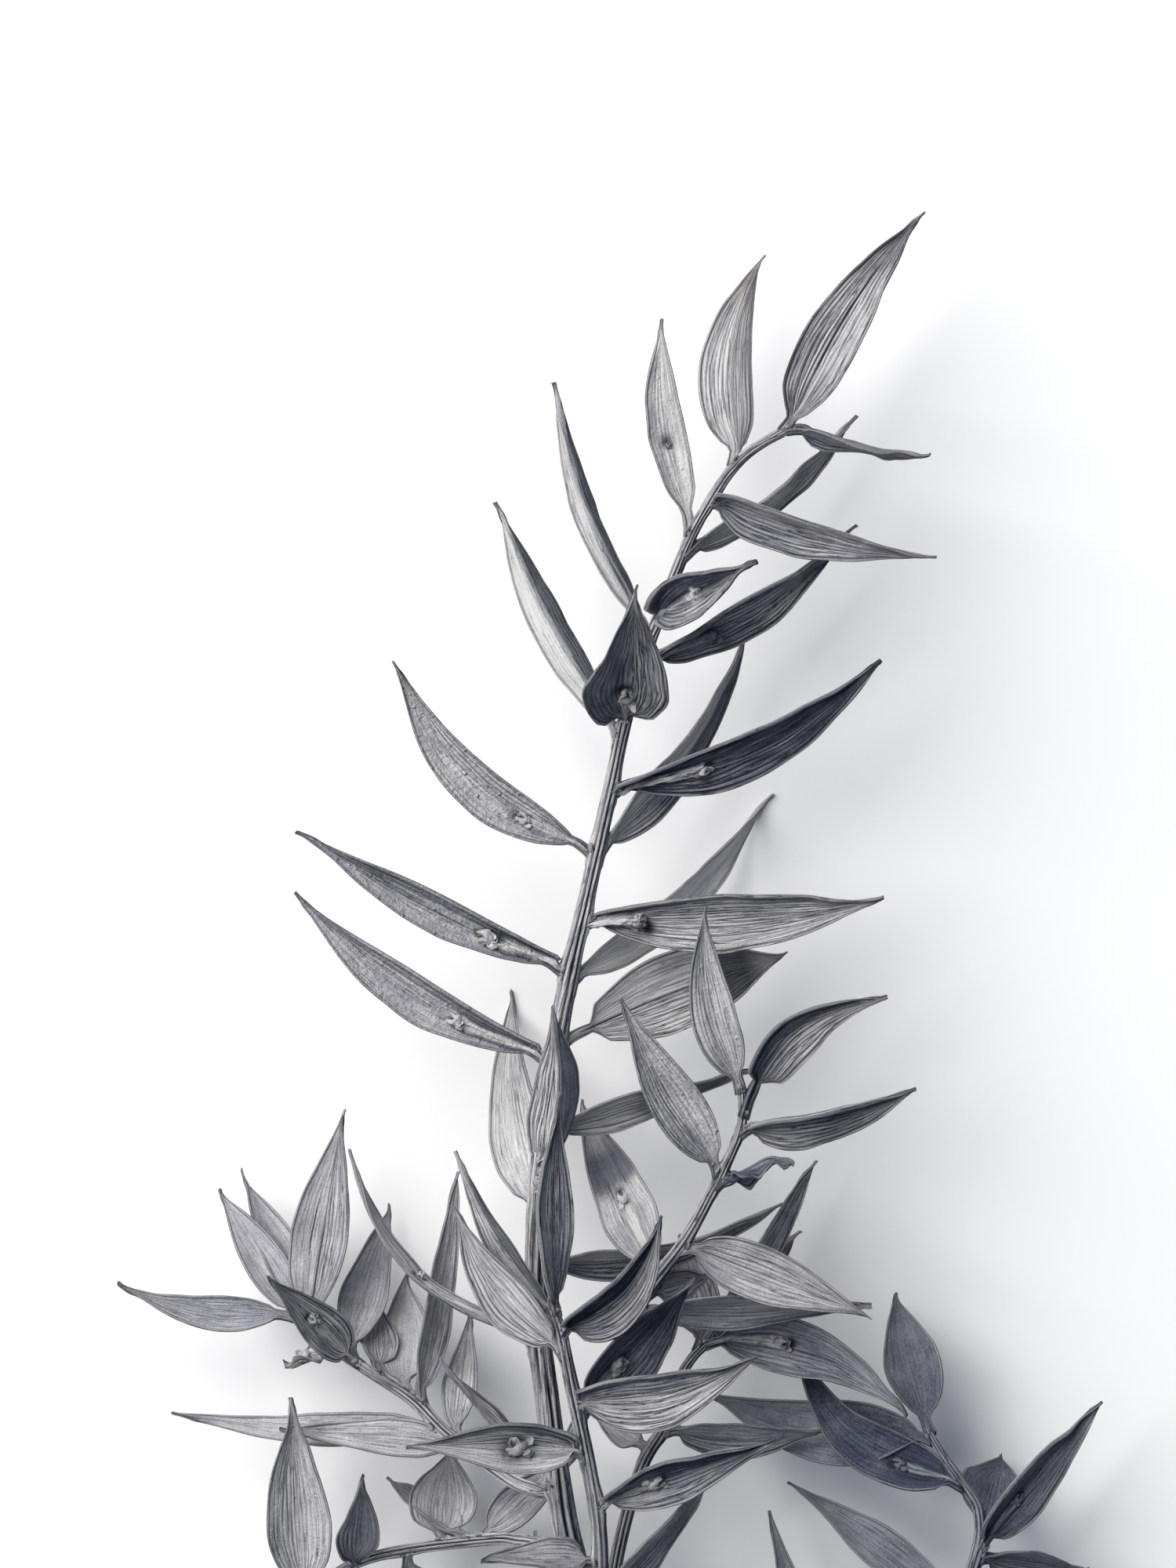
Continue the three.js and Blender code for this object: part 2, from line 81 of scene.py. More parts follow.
def blade(start, tip, rise, wide, **form):
    """One blade from its stem to its tip, in the drawing's plan.

    rise and wide are in mm. A value that differs between the halves is a pair, left before right.
    roll, twist: turn about the midrib in degrees, and how much more of it there is at the tip.
    folds: slope of the halves in degrees. bow, arch: bends of the midrib, as shares of its length.
    belly, knot: where it is widest and where its flower is, as shares of its length.
    neck, heel, lobes: length of the neck, half width of the base, and how far the base reaches back.
    crumple: how crumpled it is. rolled: the hand whose margin is thick (1 left, -1 right).
    tone, ribs: how pale each half is, partly from the dye and partly painted shade and painted light,
    and how ribbed the skin.
    root: how much darker the blade is at its base. dim: where a painted shadow band begins
    and ends, and how deep it is. crack: depth of the midrib's crevice, darkened by painted shade.
    edge: how strong the painted highlight on the margin is. dusty: how much
    stronger the painted highlight on the rib crowns is near the base. pimples: how pimpled it is.
    warm: how tan the tip is.
    flower, bud, strap: size and tone of the flower, and how thick the strap is that runs to it.
    hollow: how far ahead of the flower and aside of it the hollow lies, and how wide it is."""
    return SimpleNamespace(start=start, tip=tip, rise=rise, wide=wide, **{**USUAL, **form})


MAIN_STEM = [
    (2.4, -130, 1.9, 2.0), (1.8, -95, 3.6, 1.9), (1.2, -62, 8.0, 1.8), (0.8, -30, 13.4, 1.7),
    (0.0, -8, 16.4, 1.5), (-2.6, 6, 18.0, 1.4), (-4.0, 16, 19.0, 1.3), (-5.3, 27.4, 20.0, 1.2),
    (-4.9, 40.5, 20.5, 1.15), (-3.6, 51, 20.5, 1.1), (-2.0, 60, 20.3, 1.0), (0.0, 69, 20.0, 0.9),
    (2.2, 79, 19.5, 0.8), (4.4, 89, 19.0, 0.75), (7.4, 97.5, 18.6, 0.65), (10.9, 106.1, 18.3, 0.6),
    (15.5, 113, 18.2, 0.55), (21.2, 116.7, 18.4, 0.45),
]
MAIN_BLADES = [
    blade((20.3, 116.6), (34.2, 138.4), 6, 6.6, roll=-8, folds=(26, 22), bow=0.04, heel=1.3, tone=0.1,
          ribs=(0.8, 0.75), crack=1),
    blade((15.3, 113.2), (17.8, 134.2), -8, 6.2, roll=-12, folds=(18, -48), bow=0.095, heel=1.5,
          tone=(0.7, 0.95), ribs=(0.5, 0.4), warm=0.7),
    blade((10.3, 105.8), (7.5, 127.6), -4, 4.3, roll=26, twist=-20, folds=(20, 18), bow=0.06, belly=0.48,
          knot=0.41, heel=1.5, crumple=1.4, tone=0.6, ribs=0.15, pimples=0.6, flower=0.4, bud=-0.8,
          strap=0.1, hollow=(0.4, 0.1, 0.9)),
    blade((21.2, 116.4), (34.9, 113.1), 4, 4.0, roll=64, twist=16, folds=8, bow=-0.03, belly=0.28,
          heel=1.2, tone=(-0.3, -0.55), ribs=0.7),
    blade((10.0, 103.6), (27.5, 117.8), -8, 4.6, roll=60, folds=(10, 12), bow=-0.06, tone=(0.2, 0.1),
          ribs=0.9),
    blade((13.2, 109.2), (35.5, 103.0), 4, 5.8, roll=26, folds=(34, 22), bow=-0.04, belly=0.3, neck=0.4,
          heel=1.8, rolled=1, tone=(0.05, -0.25), ribs=(0.7, 0.8)),
    blade((5.6, 92.6), (27.4, 106.6), -4, 5.6, roll=52, folds=(10, 24), bow=-0.07, knot=0.28, rolled=1,
          tone=-0.25, ribs=0.9, flower=0.9, bud=-0.5, strap=0.5, hollow=(0.1, 0.0, 1.0)),
    blade((7.0, 97.4), (16.9, 102.6), 15, 6.8, roll=-6, folds=(42, 40), knot=0.42, neck=0.3, heel=1.2,
          lobes=1.2, crumple=1.6, rolled=1, tone=(-0.9, -0.4), ribs=(0.5, 1.0), edge=1.5,
          dusty=(0.2, 1.0), bud=1.2),
    blade((3.9, 87.0), (4.8, 100.0), 17, 9.0, folds=16, arch=0.05, belly=0.3, knot=0.22, neck=0.5,
          heel=1.4, lobes=(1.3, 0.3), crumple=2.2, tone=(-0.6, -0.2), ribs=(0.45, 1.0), edge=1.6,
          dusty=(0.0, 1.6), flower=1.1, bud=0.1, strap=0.5, hollow=(0.9, 0.9, 1.1)),
    blade((6.0, 95.4), (-3.4, 121.1), -3, 4.6, roll=8, folds=-60, bow=0.06, belly=0.46, tone=(0.5, -0.75),
          ribs=(0.4, 0.8)),
    blade((2.6, 85.0), (-9.3, 108.9), -4, 5.4, roll=4, folds=(-42, -54), bow=0.035, belly=0.46, neck=0.5,
          heel=1.3, tone=(0.45, -0.7), ribs=(0.15, 0.9)),
    blade((0.9, 73.4), (-19.8, 92.6), 2, 5.2, roll=-4, folds=(20, 16), bow=0.13, belly=0.46, knot=0.27,
          neck=1.8, heel=1.0, tone=(0.25, 0.2), ribs=(0.2, 0.5), root=0.5, pimples=1, flower=0.8,
          strap=0.4, hollow=(0.8, 0.1, 0.7)),
    blade((-1.8, 61.0), (-29.6, 75.4), 2, 4.6, roll=12, folds=24, bow=0.045, belly=0.48, knot=0.3,
          heel=1.0, rolled=-1, tone=(0, -0.3), ribs=(0.08, 0.5), root=0.6, pimples=1, flower=1.2, bud=0.9,
          strap=1.2, hollow=(-1.4, -0.7, 0.8)),
    blade((-3.4, 51.8), (-30.0, 68.9), -2, 5.0, roll=8, folds=(18, 20), bow=0.08, belly=0.5, knot=0.34,
          heel=1.1, rolled=-1, tone=(0, -0.1), ribs=(0.08, 0.4), root=0.6, pimples=1, flower=0.9, bud=0.8,
          strap=0.9, hollow=(-0.8, 0.3, 0.6)),
    blade((2.3, 79.8), (29.9, 92.6), 4, 6.6, roll=48, folds=(12, 26), bow=-0.08, belly=0.46, knot=0.31,
          neck=0.5, heel=1.3, rolled=1, tone=(-1.0, -0.9), ribs=1, dusty=(0.0, 1.2), flower=0.9, bud=0.6,
          strap=1.4),
    blade((1.4, 73.0), (16.2, 95.0), -9, 5.6, roll=52, folds=(10, 18), bow=-0.06, tone=(0.7, -0.7),
          ribs=(0.6, 0.9), root=-0.9),
    blade((-0.4, 66.4), (30.2, 68.1), 2, 7.2, roll=18, folds=(22, 20), bow=-0.03, belly=0.45, knot=0.19,
          rolled=1, tone=(0.2, 0.3), ribs=0.8, bud=-0.7, strap=2.0, hollow=(1.0, -0.9, 0.9)),
    blade((-1.8, 60.4), (18.8, 79.2), -22, 4.6, roll=40, folds=(8, 14), bow=-0.06, tone=(1.1, 1.0),
          ribs=0.1),
    blade((-3.0, 53.4), (20.5, 62.5), -11, 8.8, roll=-8, folds=(22, 16), bow=0.02, belly=0.5, neck=3.4,
          heel=0.9, tone=(1.3, 1.2), ribs=(0.3, 1.0), dim=(0.68, 0.8, 2.2), crack=1),
    blade((-5.2, 36.0), (-7.7, 58.9), -22, 6.0, roll=-8, folds=14, bow=0.04, belly=0.3, tone=(0.5, 0.3),
          ribs=(0.1, 0.3)),
    blade((-4.3, 44.6), (16.4, 50.6), -9, 4.6, roll=50, folds=(10, 20), tone=(1.3, 1.2), ribs=(0.4, 0.5),
          dim=(0.5, 1.1, 1.3)),
    blade((-5.2, 31.4), (19.9, 37.1), -7, 4.6, roll=52, folds=(12, 24), bow=-0.08, tone=(0.2, -0.5),
          ribs=(0.3, 0.8)),
    blade((-4.9, 39.6), (-3.7, 57.3), 9, 6.4, roll=8, folds=(-34, -48), bow=-0.07, knot=0.12, crumple=1.5,
          tone=(0.45, -0.6), ribs=(1.0, 0.3), flower=1.15, bud=0.6, strap=0.8),
    blade((-5.0, 23.6), (-24.4, 42.7), -3, 3.8, roll=70, folds=6, bow=0.16, knot=0.48, tone=(0.15, 0.1),
          ribs=0.6, flower=0.6),
    blade((-3.2, 9.0), (-15.2, 21.4), 1, 3.4, roll=66, folds=6, bow=0.03, ribs=0.8),
    blade((0.4, -12.0), (-5.6, 3.6), -3.2, 4.6, roll=20, folds=(22, 20), tone=-0.1),
    blade((0.0, -16.0), (-4.4, 1.8), 3, 4.4, roll=30, folds=(22, 20)),
    blade((0.9, -38.0), (-5.4, -26.0), 1, 3.6, folds=30, crumple=1.4),
    blade((1.2, -60.0), (5.6, -51.0), 3, 2.6, folds=34, crumple=1.4),
    blade((1.4, -74.0), (-2.2, -66.5), 1.5, 2.4, folds=34, crumple=1.4),
    blade((1.8, -92.0), (5.4, -85.0), 1.5, 2.2, folds=34, crumple=1.4),
]
FRONT_STEM = [
    (1.6, -25.0, 16.9, 1.0), (1.8, -17, 20.5, 0.95), (1.4, -6, 25.5, 0.9), (1.1, 3.7, 28.3, 0.85),
    (0.1, 10.4, 29.7, 0.8), (-1.4, 17.6, 30.8, 0.75), (-2.7, 23.8, 31.4, 0.65), (-3.6, 26.6, 31.5, 0.5),
]
FRONT_BLADES = [
    blade((-3.6, 26.4), (-2.8, 48.8), 0, 5.0, roll=44, twist=-20, folds=(20, 26), bow=0.035, rolled=1,
          tone=(0.1, -0.6), ribs=0.8),
    blade((-3.2, 25.4), (-13.5, 42.7), -2, 4.4, roll=4, folds=-58, bow=0.05, tone=(0.1, -0.4), ribs=0.7),
    blade((-2.5, 22.4), (-13.6, 37.1), 0, 5.6, roll=-14, folds=(20, 18), bow=0.08, tone=(0.5, 0.3),
          ribs=(0.6, 0.5)),
    blade((-2.8, 24.6), (7.5, 36.2), 8, 7.2, roll=18, folds=(42, 40), bow=-0.12, rolled=1,
          tone=(-1.2, -0.2), ribs=1.0),
    blade((-1.4, 17.4), (17.1, 22.0), 8, 7.0, roll=-8, folds=(50, -8), bow=-0.08, neck=0.3, heel=1.5,
          rolled=1, tone=(-0.15, 0.15), ribs=(0.7, 1)),
    blade((-1.2, 16.6), (10.9, 29.9), 1, 7.6, roll=40, folds=20, knot=0.35, tone=(-1.0, -0.9),
          ribs=(0.6, 0.7), bud=-0.3),
    blade((-0.1, 12.2), (-18.4, 12.9), 8, 5.8, roll=12, folds=(12, 34), bow=-0.01, knot=0.4, rolled=-1,
          tone=(0.5, 0.25), ribs=(0.25, 0.7), flower=1.3, bud=-0.2, strap=0.5, hollow=(0.3, 0.2, 1.7)),
    blade((0.9, 6.8), (19.9, 13.6), 6, 5.8, roll=34, folds=(24, 34), bow=0.01, knot=0.33, heel=1.0,
          rolled=1, tone=(-1.1, -0.55), ribs=(0.6, 0.8), root=-0.9, bud=-0.1),
    blade((1.2, 0.8), (-10.9, 1.3), 3, 5.2, roll=46, folds=20, tone=-0.1),
    blade((1.3, -3.0), (12.0, 8.4), -5, 5.2, roll=50, folds=20, tone=(-0.1, -0.2)),
]
RIGHT_STEM = [
    (-1.9, 13.0, 19.8, 0.7), (-0.8, 15.2, 20.5, 0.75), (3.0, 21.4, 22.2, 0.75), (5.7, 27.7, 23.2, 0.7),
    (9.8, 33.4, 24.0, 0.65), (12.3, 37.8, 24.4, 0.6), (14.9, 43.2, 24.6, 0.55), (15.7, 46.4, 24.6, 0.5),
    (15.6, 49.6, 24.6, 0.4),
]
RIGHT_BLADES = [
    blade((15.6, 49.2), (11.8, 67.5), 5, 5.2, roll=-12, folds=(20, 16), bow=0.06, tone=(0.15, 0.2),
          ribs=(0.4, 0.3), pimples=0.3),
    blade((15.8, 46.6), (30.5, 58.2), 2, 5.8, roll=36, twist=-34, folds=(26, 12), bow=0.16, neck=3.0,
          rolled=1, tone=(-0.5, 0.2), ribs=(0.7, 0.8), root=0.8),
    blade((13.4, 40.6), (3.4, 58.1), 1, 6.0, roll=10, folds=(22, 18), bow=0.04, tone=(-0.05, 0.05),
          ribs=(0.6, 0.3), pimples=0.8),
    blade((15.5, 45.0), (33.4, 48.9), 3, 6.0, roll=38, folds=(38, 24), bow=-0.04, heel=1.5, rolled=1,
          tone=(-0.7, -0.3), ribs=0.9, root=-0.9),
    blade((13.0, 39.6), (21.0, 41.2), 1, 4.0, roll=40, twist=70, folds=(40, 30), bow=0.1, crumple=4,
          tone=(-0.85, -0.7)),
    blade((9.6, 33.2), (29.0, 25.6), -1, 6.0, roll=-6, folds=12, tone=0.15, ribs=(0.4, 0.3), crack=0.6),
    blade((7.2, 30.2), (-1.0, 47.6), -11, 6.4, roll=-14, folds=(16, 14), knot=0.43, tone=0.1, ribs=0.15,
          dim=(0.58, 0.64, 1.1)),
    blade((5.2, 26.4), (28.9, 26.7), -5, 4.8, roll=46, folds=(16, 20), tone=(0.1, 0.05), ribs=0.3),
    blade((5.9, 28.0), (12.4, 29.8), -5, 4.6, roll=20, folds=20, tone=-0.3),
]
LEFT_STEM = [
    (-4.9, 7.7, 17.0, 0.8), (-8.2, 9.0, 15.6, 0.75), (-14.2, 13.3, 13.8, 0.7), (-18.1, 17.1, 13.0, 0.65),
    (-23.9, 20.9, 12.4, 0.6), (-30.4, 25.9, 12.0, 0.45),
]
LEFT_BLADES = [
    blade((-30.2, 25.8), (-48.3, 28.7), -3, 4.0, roll=18, folds=(20, 22), bow=0.08, heel=0.9, tone=-0.25,
          ribs=(0.3, 0.2)),
    blade((-24.0, 20.9), (-32.7, 29.7), 9, 5.2, roll=12, folds=(24, 22), knot=0.5, tone=0.1,
          ribs=(0.7, 0.9), flower=0.7, bud=0.3),
    blade((-28.6, 24.5), (-25.0, 46.7), -2, 7.0, roll=-8, folds=(16, 36), tone=(0.1, -0.1),
          ribs=(0.15, 0.7), crack=0.9),
    blade((-17.6, 16.6), (-13.3, 40.3), -4, 4.4, roll=44, folds=20, ribs=0.3),
    blade((-13.6, 12.9), (-12.0, 25.8), -9, 3.8, roll=-16, folds=(18, 16), ribs=(0.3, 0.4)),
    blade((-18.8, 17.6), (-18.7, 29.7), -9, 5.8, roll=-6, folds=16, ribs=0.1),
    blade((-21.6, 19.5), (-21.7, 27.4), -7, 4.4, roll=20, folds=20, tone=-0.2, ribs=0.3),
    blade((-25.6, 22.0), (-31.0, 20.4), -1, 3.0, roll=20, twist=60, folds=30, knot=0.6, crumple=3,
          tone=(-0.1, 0.1), warm=1),
    blade((-15.6, 14.6), (-42.7, 15.5), -6, 4.0, roll=24, folds=20, bow=0.05, tone=0.1, ribs=0.1),
    blade((-12.6, 12.2), (-31.6, 13.9), -1, 4.8, roll=26, folds=20, ribs=(0.3, 0.2)),
    blade((-29.6, 25.3), (-38.0, 38.4), -7, 4.8, roll=10, folds=18, tone=-0.1, ribs=0.1),
    blade((-27.4, 23.6), (-35.8, 40.3), -9, 4.8, roll=20, folds=18, tone=-0.15, ribs=0.1),
    blade((-24.6, 21.4), (-20.2, 36.8), -9, 5.2, roll=-10, folds=18, tone=-0.15, ribs=0.1),
]
LOWER_LEFT_STEM = [
    (-4.0, 2.2, 16.2, 0.7), (-7.0, 2.6, 13.6, 0.7), (-10.7, 2.6, 11.6, 0.65), (-21.9, 0.8, 8.6, 0.6),
    (-29.4, -3.0, 7.4, 0.45),
]
LOWER_LEFT_BLADES = [
    blade((-29.0, -2.8), (-30.3, 17.1), 10, 7.2, roll=-8, folds=(26, 14), tone=0.6, ribs=(0.5, 0.3),
          pimples=0.3),
    blade((-24.0, -0.2), (-23.0, 9.4), 12, 4.8, roll=14, folds=24, tone=(-0.1, -0.4), ribs=(0.7, 0.3)),
    blade((-15.2, 2.0), (-14.2, 11.7), -6, 7.6, roll=-8, folds=14, ribs=0.2),
    blade((-12.4, 2.4), (-20.6, 8.6), -7, 4.0, roll=40, folds=22, tone=-0.2),
    blade((-11.2, 2.6), (-0.8, 11.6), -1.5, 4.6, roll=-14, folds=20, ribs=0.3),
    blade((-19.0, 1.4), (-12.4, -16.0), -6, 6.0, roll=10, folds=20),
]
BACK_RIGHT_STEM = [
    (1.9, -8.0, 14.2, 0.75), (3.0, 1.0, 12.6, 0.75), (5.4, 9.8, 12.4, 0.7), (8.0, 14.6, 12.8, 0.65),
    (9.8, 20.0, 13.4, 0.55), (12.8, 23.6, 13.8, 0.4),
]
BACK_RIGHT_BLADES = [
    blade((7.8, 14.2), (25.1, 14.2), 0, 4.8, roll=40, folds=(14, 20), bow=-0.06, tone=(0, -0.1),
          ribs=(0.3, 0.5)),
    blade((6.4, 11.8), (0.4, 15.6), -5, 3.6, roll=10, folds=24, ribs=0.2),
    blade((12.4, 23.2), (32.7, 15.7), 7, 6.4, roll=12, folds=(18, 22), bow=0.12, knot=0.33,
          tone=(-0.5, -0.45), ribs=(0.3, 0.4)),
    blade((12.6, 23.4), (23.4, 41.5), -4, 4.6, roll=42, folds=20, tone=(-0.1, -0.2)),
    blade((12.8, 23.6), (21.6, 34.2), -8, 4.6, roll=42, folds=20, tone=-0.3),
    blade((11.8, 22.4), (9.4, 33.6), -8, 5.6, roll=10, folds=20, tone=-0.3),
]
FAR_RIGHT_STEM = [
    (3.9, -48.2, 9.6, 1.0), (12, -39, 9.8, 1.0), (25, -24, 11.0, 0.95), (35.5, -10, 12.2, 0.85),
    (39.6, 0.5, 13.2, 0.75), (40.0, 5.4, 13.8, 0.65), (38.4, 8.4, 14.2, 0.55), (36.4, 11.2, 14.4, 0.45),
    (34.6, 14.2, 14.0, 0.35),
]
FAR_RIGHT_BLADES = [
    blade((34.7, 14.0), (31.4, 27.8), -10, 6.4, roll=8, folds=20, belly=0.42, tone=(-0.65, -0.7),
          ribs=0.1),
    blade((38.3, 8.6), (20.6, 24.0), -1, 6.0, roll=14, folds=(20, 22), bow=0.17, belly=0.32, knot=0.26,
          tone=-0.95, ribs=0.2, flower=0.8),
    blade((35.0, 13.5), (12.0, 17.6), -9, 7.4, roll=20, folds=16, bow=0.08, tone=-0.65, ribs=0.1),
    blade((39.8, 2.0), (52.5, 16.8), 4, 6.2, roll=36, folds=(26, 24), bow=0.02, knot=0.33, rolled=1,
          tone=(-0.65, -0.55), ribs=0.5, flower=0.7),
    blade((39.9, 3.6), (42.6, 11.0), -11, 8.0, roll=6, folds=18, tone=-0.8, ribs=0.1),
    blade((39.5, 1.0), (51.4, -0.6), -5, 5.2, roll=40, folds=20, tone=-0.5),
    blade((37.6, -5.0), (20.6, 8.6), -4, 5.4, roll=30, folds=20, tone=(-0.45, -0.5), ribs=0.1),
    blade((25.4, -23.6), (18.6, 5.5), -4, 5.4, roll=22, folds=20, tone=-0.4, ribs=0.2),
    blade((32.0, -14.8), (50.0, -14.0), -5, 6.0, roll=30, folds=20, tone=-0.4),
]
SIDE_SHOOTS = {
    "front_shoot": (FRONT_STEM, FRONT_BLADES, 6.0, (0.0, 0.0)),
    "right_shoot": (RIGHT_STEM, RIGHT_BLADES, 1.5, (-0.3, 0.0)),
    "left_shoot": (LEFT_STEM, LEFT_BLADES, 1.5, (0.0, 0.0)),
    "lower_left_shoot": (LOWER_LEFT_STEM, LOWER_LEFT_BLADES, 1.5, (0.0, 0.0)),
    "back_right_shoot": (BACK_RIGHT_STEM, BACK_RIGHT_BLADES, 6.0, (-0.1, -0.1)),
    "far_right_shoot": (FAR_RIGHT_STEM, FAR_RIGHT_BLADES, 2.5, (-0.3, -0.3)),
}  # with how far the stem's root is sunk, and the stem's tones towards its base and its tip
UPPER_MAIN_BLADES = 14  # how many of the main stem's blades, from its tip, are in the upper piece

# ---- fine relief: distances are in mm, and the rest are shares or plain numbers ----
STEP_ALONG = 0.5  # distance between two sections of a blade
KNOT_STEPS = np.arange(-1.3, 2.2, 0.25)  # added sections round a flower, as distances from it
TIP_SHARES = (0.963, 0.974, 0.983, 0.99, 0.996, 1.0)  # the last sections, round the spiny tip
RIB_COLUMNS = (  # columns of points in one rib, from its crease, and at last the margin's crease
    (0.0, 0.13, 0.5, 0.87, 0.0),  # their places in the rib
    (-1.0, 0.05, 0.3, 0.05, -0.9),  # their heights
    (1.0, 0.28, 0.0, 0.28, 0.9),  # how dark they are: painted shade in the crease
    (0.0, 0.45, 0.8, 0.45, 0.0),  # how pale they are: a painted highlight on the rib's crown
)
UNDER_COLUMNS = ((0.0, 0.5, 0.0), (-0.8, 0.5, -0.9), (1.0, 0.0, 0.9), (0.0, 0.6, 0.0))  # the same rows underneath: places, heights, painted shade and painted highlight
MARGIN_COLUMNS = np.array([[0.66, 0.34, 0.1]])  # places of the columns in the margin's bead
MARGIN_BEAD = np.array([[0.7, 1.0, 0.66]])  # half thickness of the bead there
MARGIN_CURL = np.array([[0.35, 0.9, 1.0]])  # how far the bead is curled up there
MARGIN_SHADE = np.array([[0.7, 0.0, 0.3]])  # how dark the bead is there
THICK_EDGE = 1.7  # how many times thicker the margin is on the rolled hand
THICK_LOBE = 1.1  # how far a base reaches back there, where its blade doesn't say
LOBE_LIFT = 0.3  # how far a lobe rises for each mm that it reaches back
LOBE_POWER = 1.6  # how sharply a lobe starts across the half of a blade
NECK_HALF = 0.72  # half width of a blade's neck
HOOK = 0.4  # how far a tip may hook
SETTLED = (0.25, 0.9)  # heights between which a midrib settles that would sink into the floor
STRAP_TONE = 0.3  # how pale the dye is on the cord that runs to a flower
SCALE_GRID = (9, 12)  # rings, and points in one, of a dry scale
PEBBLE_GRID = (12, 18)  # of a lump
SCRAP_GRID = (7, 10)  # of a scrap of bract
SCRAPS = 4  # scraps round a flower
PEBBLES = ((0.0, 0.0, 0.62), (-0.6, 0.3, 0.36))  # a flower's lumps: along, aside and size
STEM_STEPS = (0.5, 0.4)  # distance between two sections of the main stem and of a side stem
STEM_SAMPLES = 2000  # places along a stem at which its length is measured
MAIN_TONES = (-0.25, 0.0)  # the main stem's tones towards its base and its tip
PAINTED_SHADE_WAY = (0.87, -0.45, -0.15)  # the side of a stem that gets painted shade
PAINTED_SHADE_DEPTH = 0.65  # and how much darker the painted shade makes it
ROOT_TAPER = 0.65  # how much thinner the end of a side stem's sunk root is
RIDGE_COLUMNS = (0.0, 0.13, 0.26, 0.5, 0.74, 0.87)  # columns of points in one ridge of a stem
RIDGE_DROP = (1.0, 0.75, 0.2, 0.0, 0.2, 0.75)  # how far they lie in the groove
RIDGE_SHADE = (1.0, 0.95, 0.2, 0.0, 0.2, 0.95)  # how dark they are
RIDGE_WANDER = 0.24  # how far the ridges stray, in ridges
CUT_RINGS = ((0.12, 0.12), (0.4, 0.05), (0.72, 0.0))  # radius and depth of the cut end's rings
CUT_MARKS = {"crease": (0.5, 0.1, 0.3), "bloom": (0.4, 1.0, 0.6), "tone": (0, 0, 0),
             "ribbed": (0, 0, 0)}  # the looks of its pith, wood and bark
HASH_STEPS = (12.9898, 78.233, 37.719)  # turn whole-number places into a phase for the noise
HASH_SCALE = 43758.5453  # spreads the sine of that phase
MAIN_SEED, MAIN_BLADES_SEED = 1.3, 2.9  # where the noise of the main stem and its blades starts
SHOOT_SEED, BLADE_SEED = 40.3, 1.37  # steps from one side shoot and one blade to the next

# ---- finishes ----
ASH_DEPTHS = {"ash_blade": 0.755, "ash_wood": 0.8}  # how pale each material is
RAMP = {"crease": 0.0, "slate": 0.3, "ash": 0.65, "pale": 0.92}  # where the colours lie in it
FIBRES_ACROSS = 3.4  # fibres in each mm across the grain
FIBRE_LINE = 0.024  # how broad the dark lines between them are
RELIEF = 0.16 * MM  # height of the skin's bumps, in metres


def size_setting(name, description, default):
    """A length on the panel, given in mm."""
    return FloatProperty(name=name, description=description, default=default * MM, unit="LENGTH",
                         precision=5)


def plain_setting(name, description, default, low, high):
    """A plain number on the panel, from low to high."""
    return FloatProperty(name=name, description=description, default=default, min=low, max=high)


def colour_setting(name, description, *default):
    """A colour on the panel."""
    return FloatVectorProperty(name=name, description=description, subtype="COLOR", default=default,
                               min=0, max=1)


class BladeLooks(bpy.types.PropertyGroup):
    """Sizes of the blades' fine relief."""

    thickness: size_setting("Thickness", "Thickness of a blade between its creases", 0.3)
    rib_pitch: size_setting(
        "Rib pitch", "Distance between two creases where the blade is widest", 0.5)
    rib_depth: size_setting("Rib depth", "Depth of the creases between the ribs", 0.21)
    bead: size_setting("Margin bead", "Half thickness of the rolled margin", 0.14)
    spine: size_setting("Spine", "Half width of the spiny tip", 0.08)
    cup: plain_setting("Cup", "Power by which each half curves up towards its margin", 1.35, 1, 2)


class StemLooks(bpy.types.PropertyGroup):
    """Sizes of the stems' and the flower knots' fine relief."""

    ridges: IntProperty(name="Ridges", description="Ridges round the main stem", default=9, min=3)
    side_ridges: IntProperty(
        name="Side ridges", description="Ridges round a side stem", default=8, min=3)
    groove: plain_setting("Groove", "Depth of the grooves, as a share of the radius", 0.46, 0, 0.6)
    collar: plain_setting(
        "Collar", "Swelling where a blade leaves, as a share of the radius", 0.26, 0, 1)
    flower: size_setting("Flower knot", "Half length of a dried flower knot", 1.45)
    scale: size_setting("Scale leaf", "Length of the dry scale under each blade", 1.4)


class Finish(bpy.types.PropertyGroup):
    """Colours of the dyed, dried branch and of its painted shade, from its creases to its palest ribs."""

    # the colour of the painted shade in creases, grooves and hollows
    crease: colour_setting("Crease", "Creases, grooves and hollows", 0.012, 0.016, 0.029)
    # slate also gives the blades in painted shade their colour
    slate: colour_setting("Slate", "Deeply dyed blades", 0.06, 0.073, 0.12)
    ash: colour_setting("Ash", "The main grey", 0.355, 0.355, 0.382)
    pale: colour_setting("Pale", "The palest blades, ribs and margins", 0.665, 0.655, 0.65)
    tan: colour_setting("Tan", "Warm tips that the dye missed", 0.58, 0.48, 0.39)


class StageLooks(bpy.types.PropertyGroup):
    """The floor, the lights and the camera."""

    floor: colour_setting("Floor", "Colour of the floor", 0.97, 0.965, 0.955)
    key_power: FloatProperty(
        name="Key light", description="Power of the key light", default=55, unit="POWER")
    key_side: size_setting("Key size", "Side of the square key light", 1700)
    fill: plain_setting("Fill", "Strength of the even light from all round", 0.15, 0, 10)
    distance: size_setting("Camera distance", "Height of the camera above the leafy part", 2500)


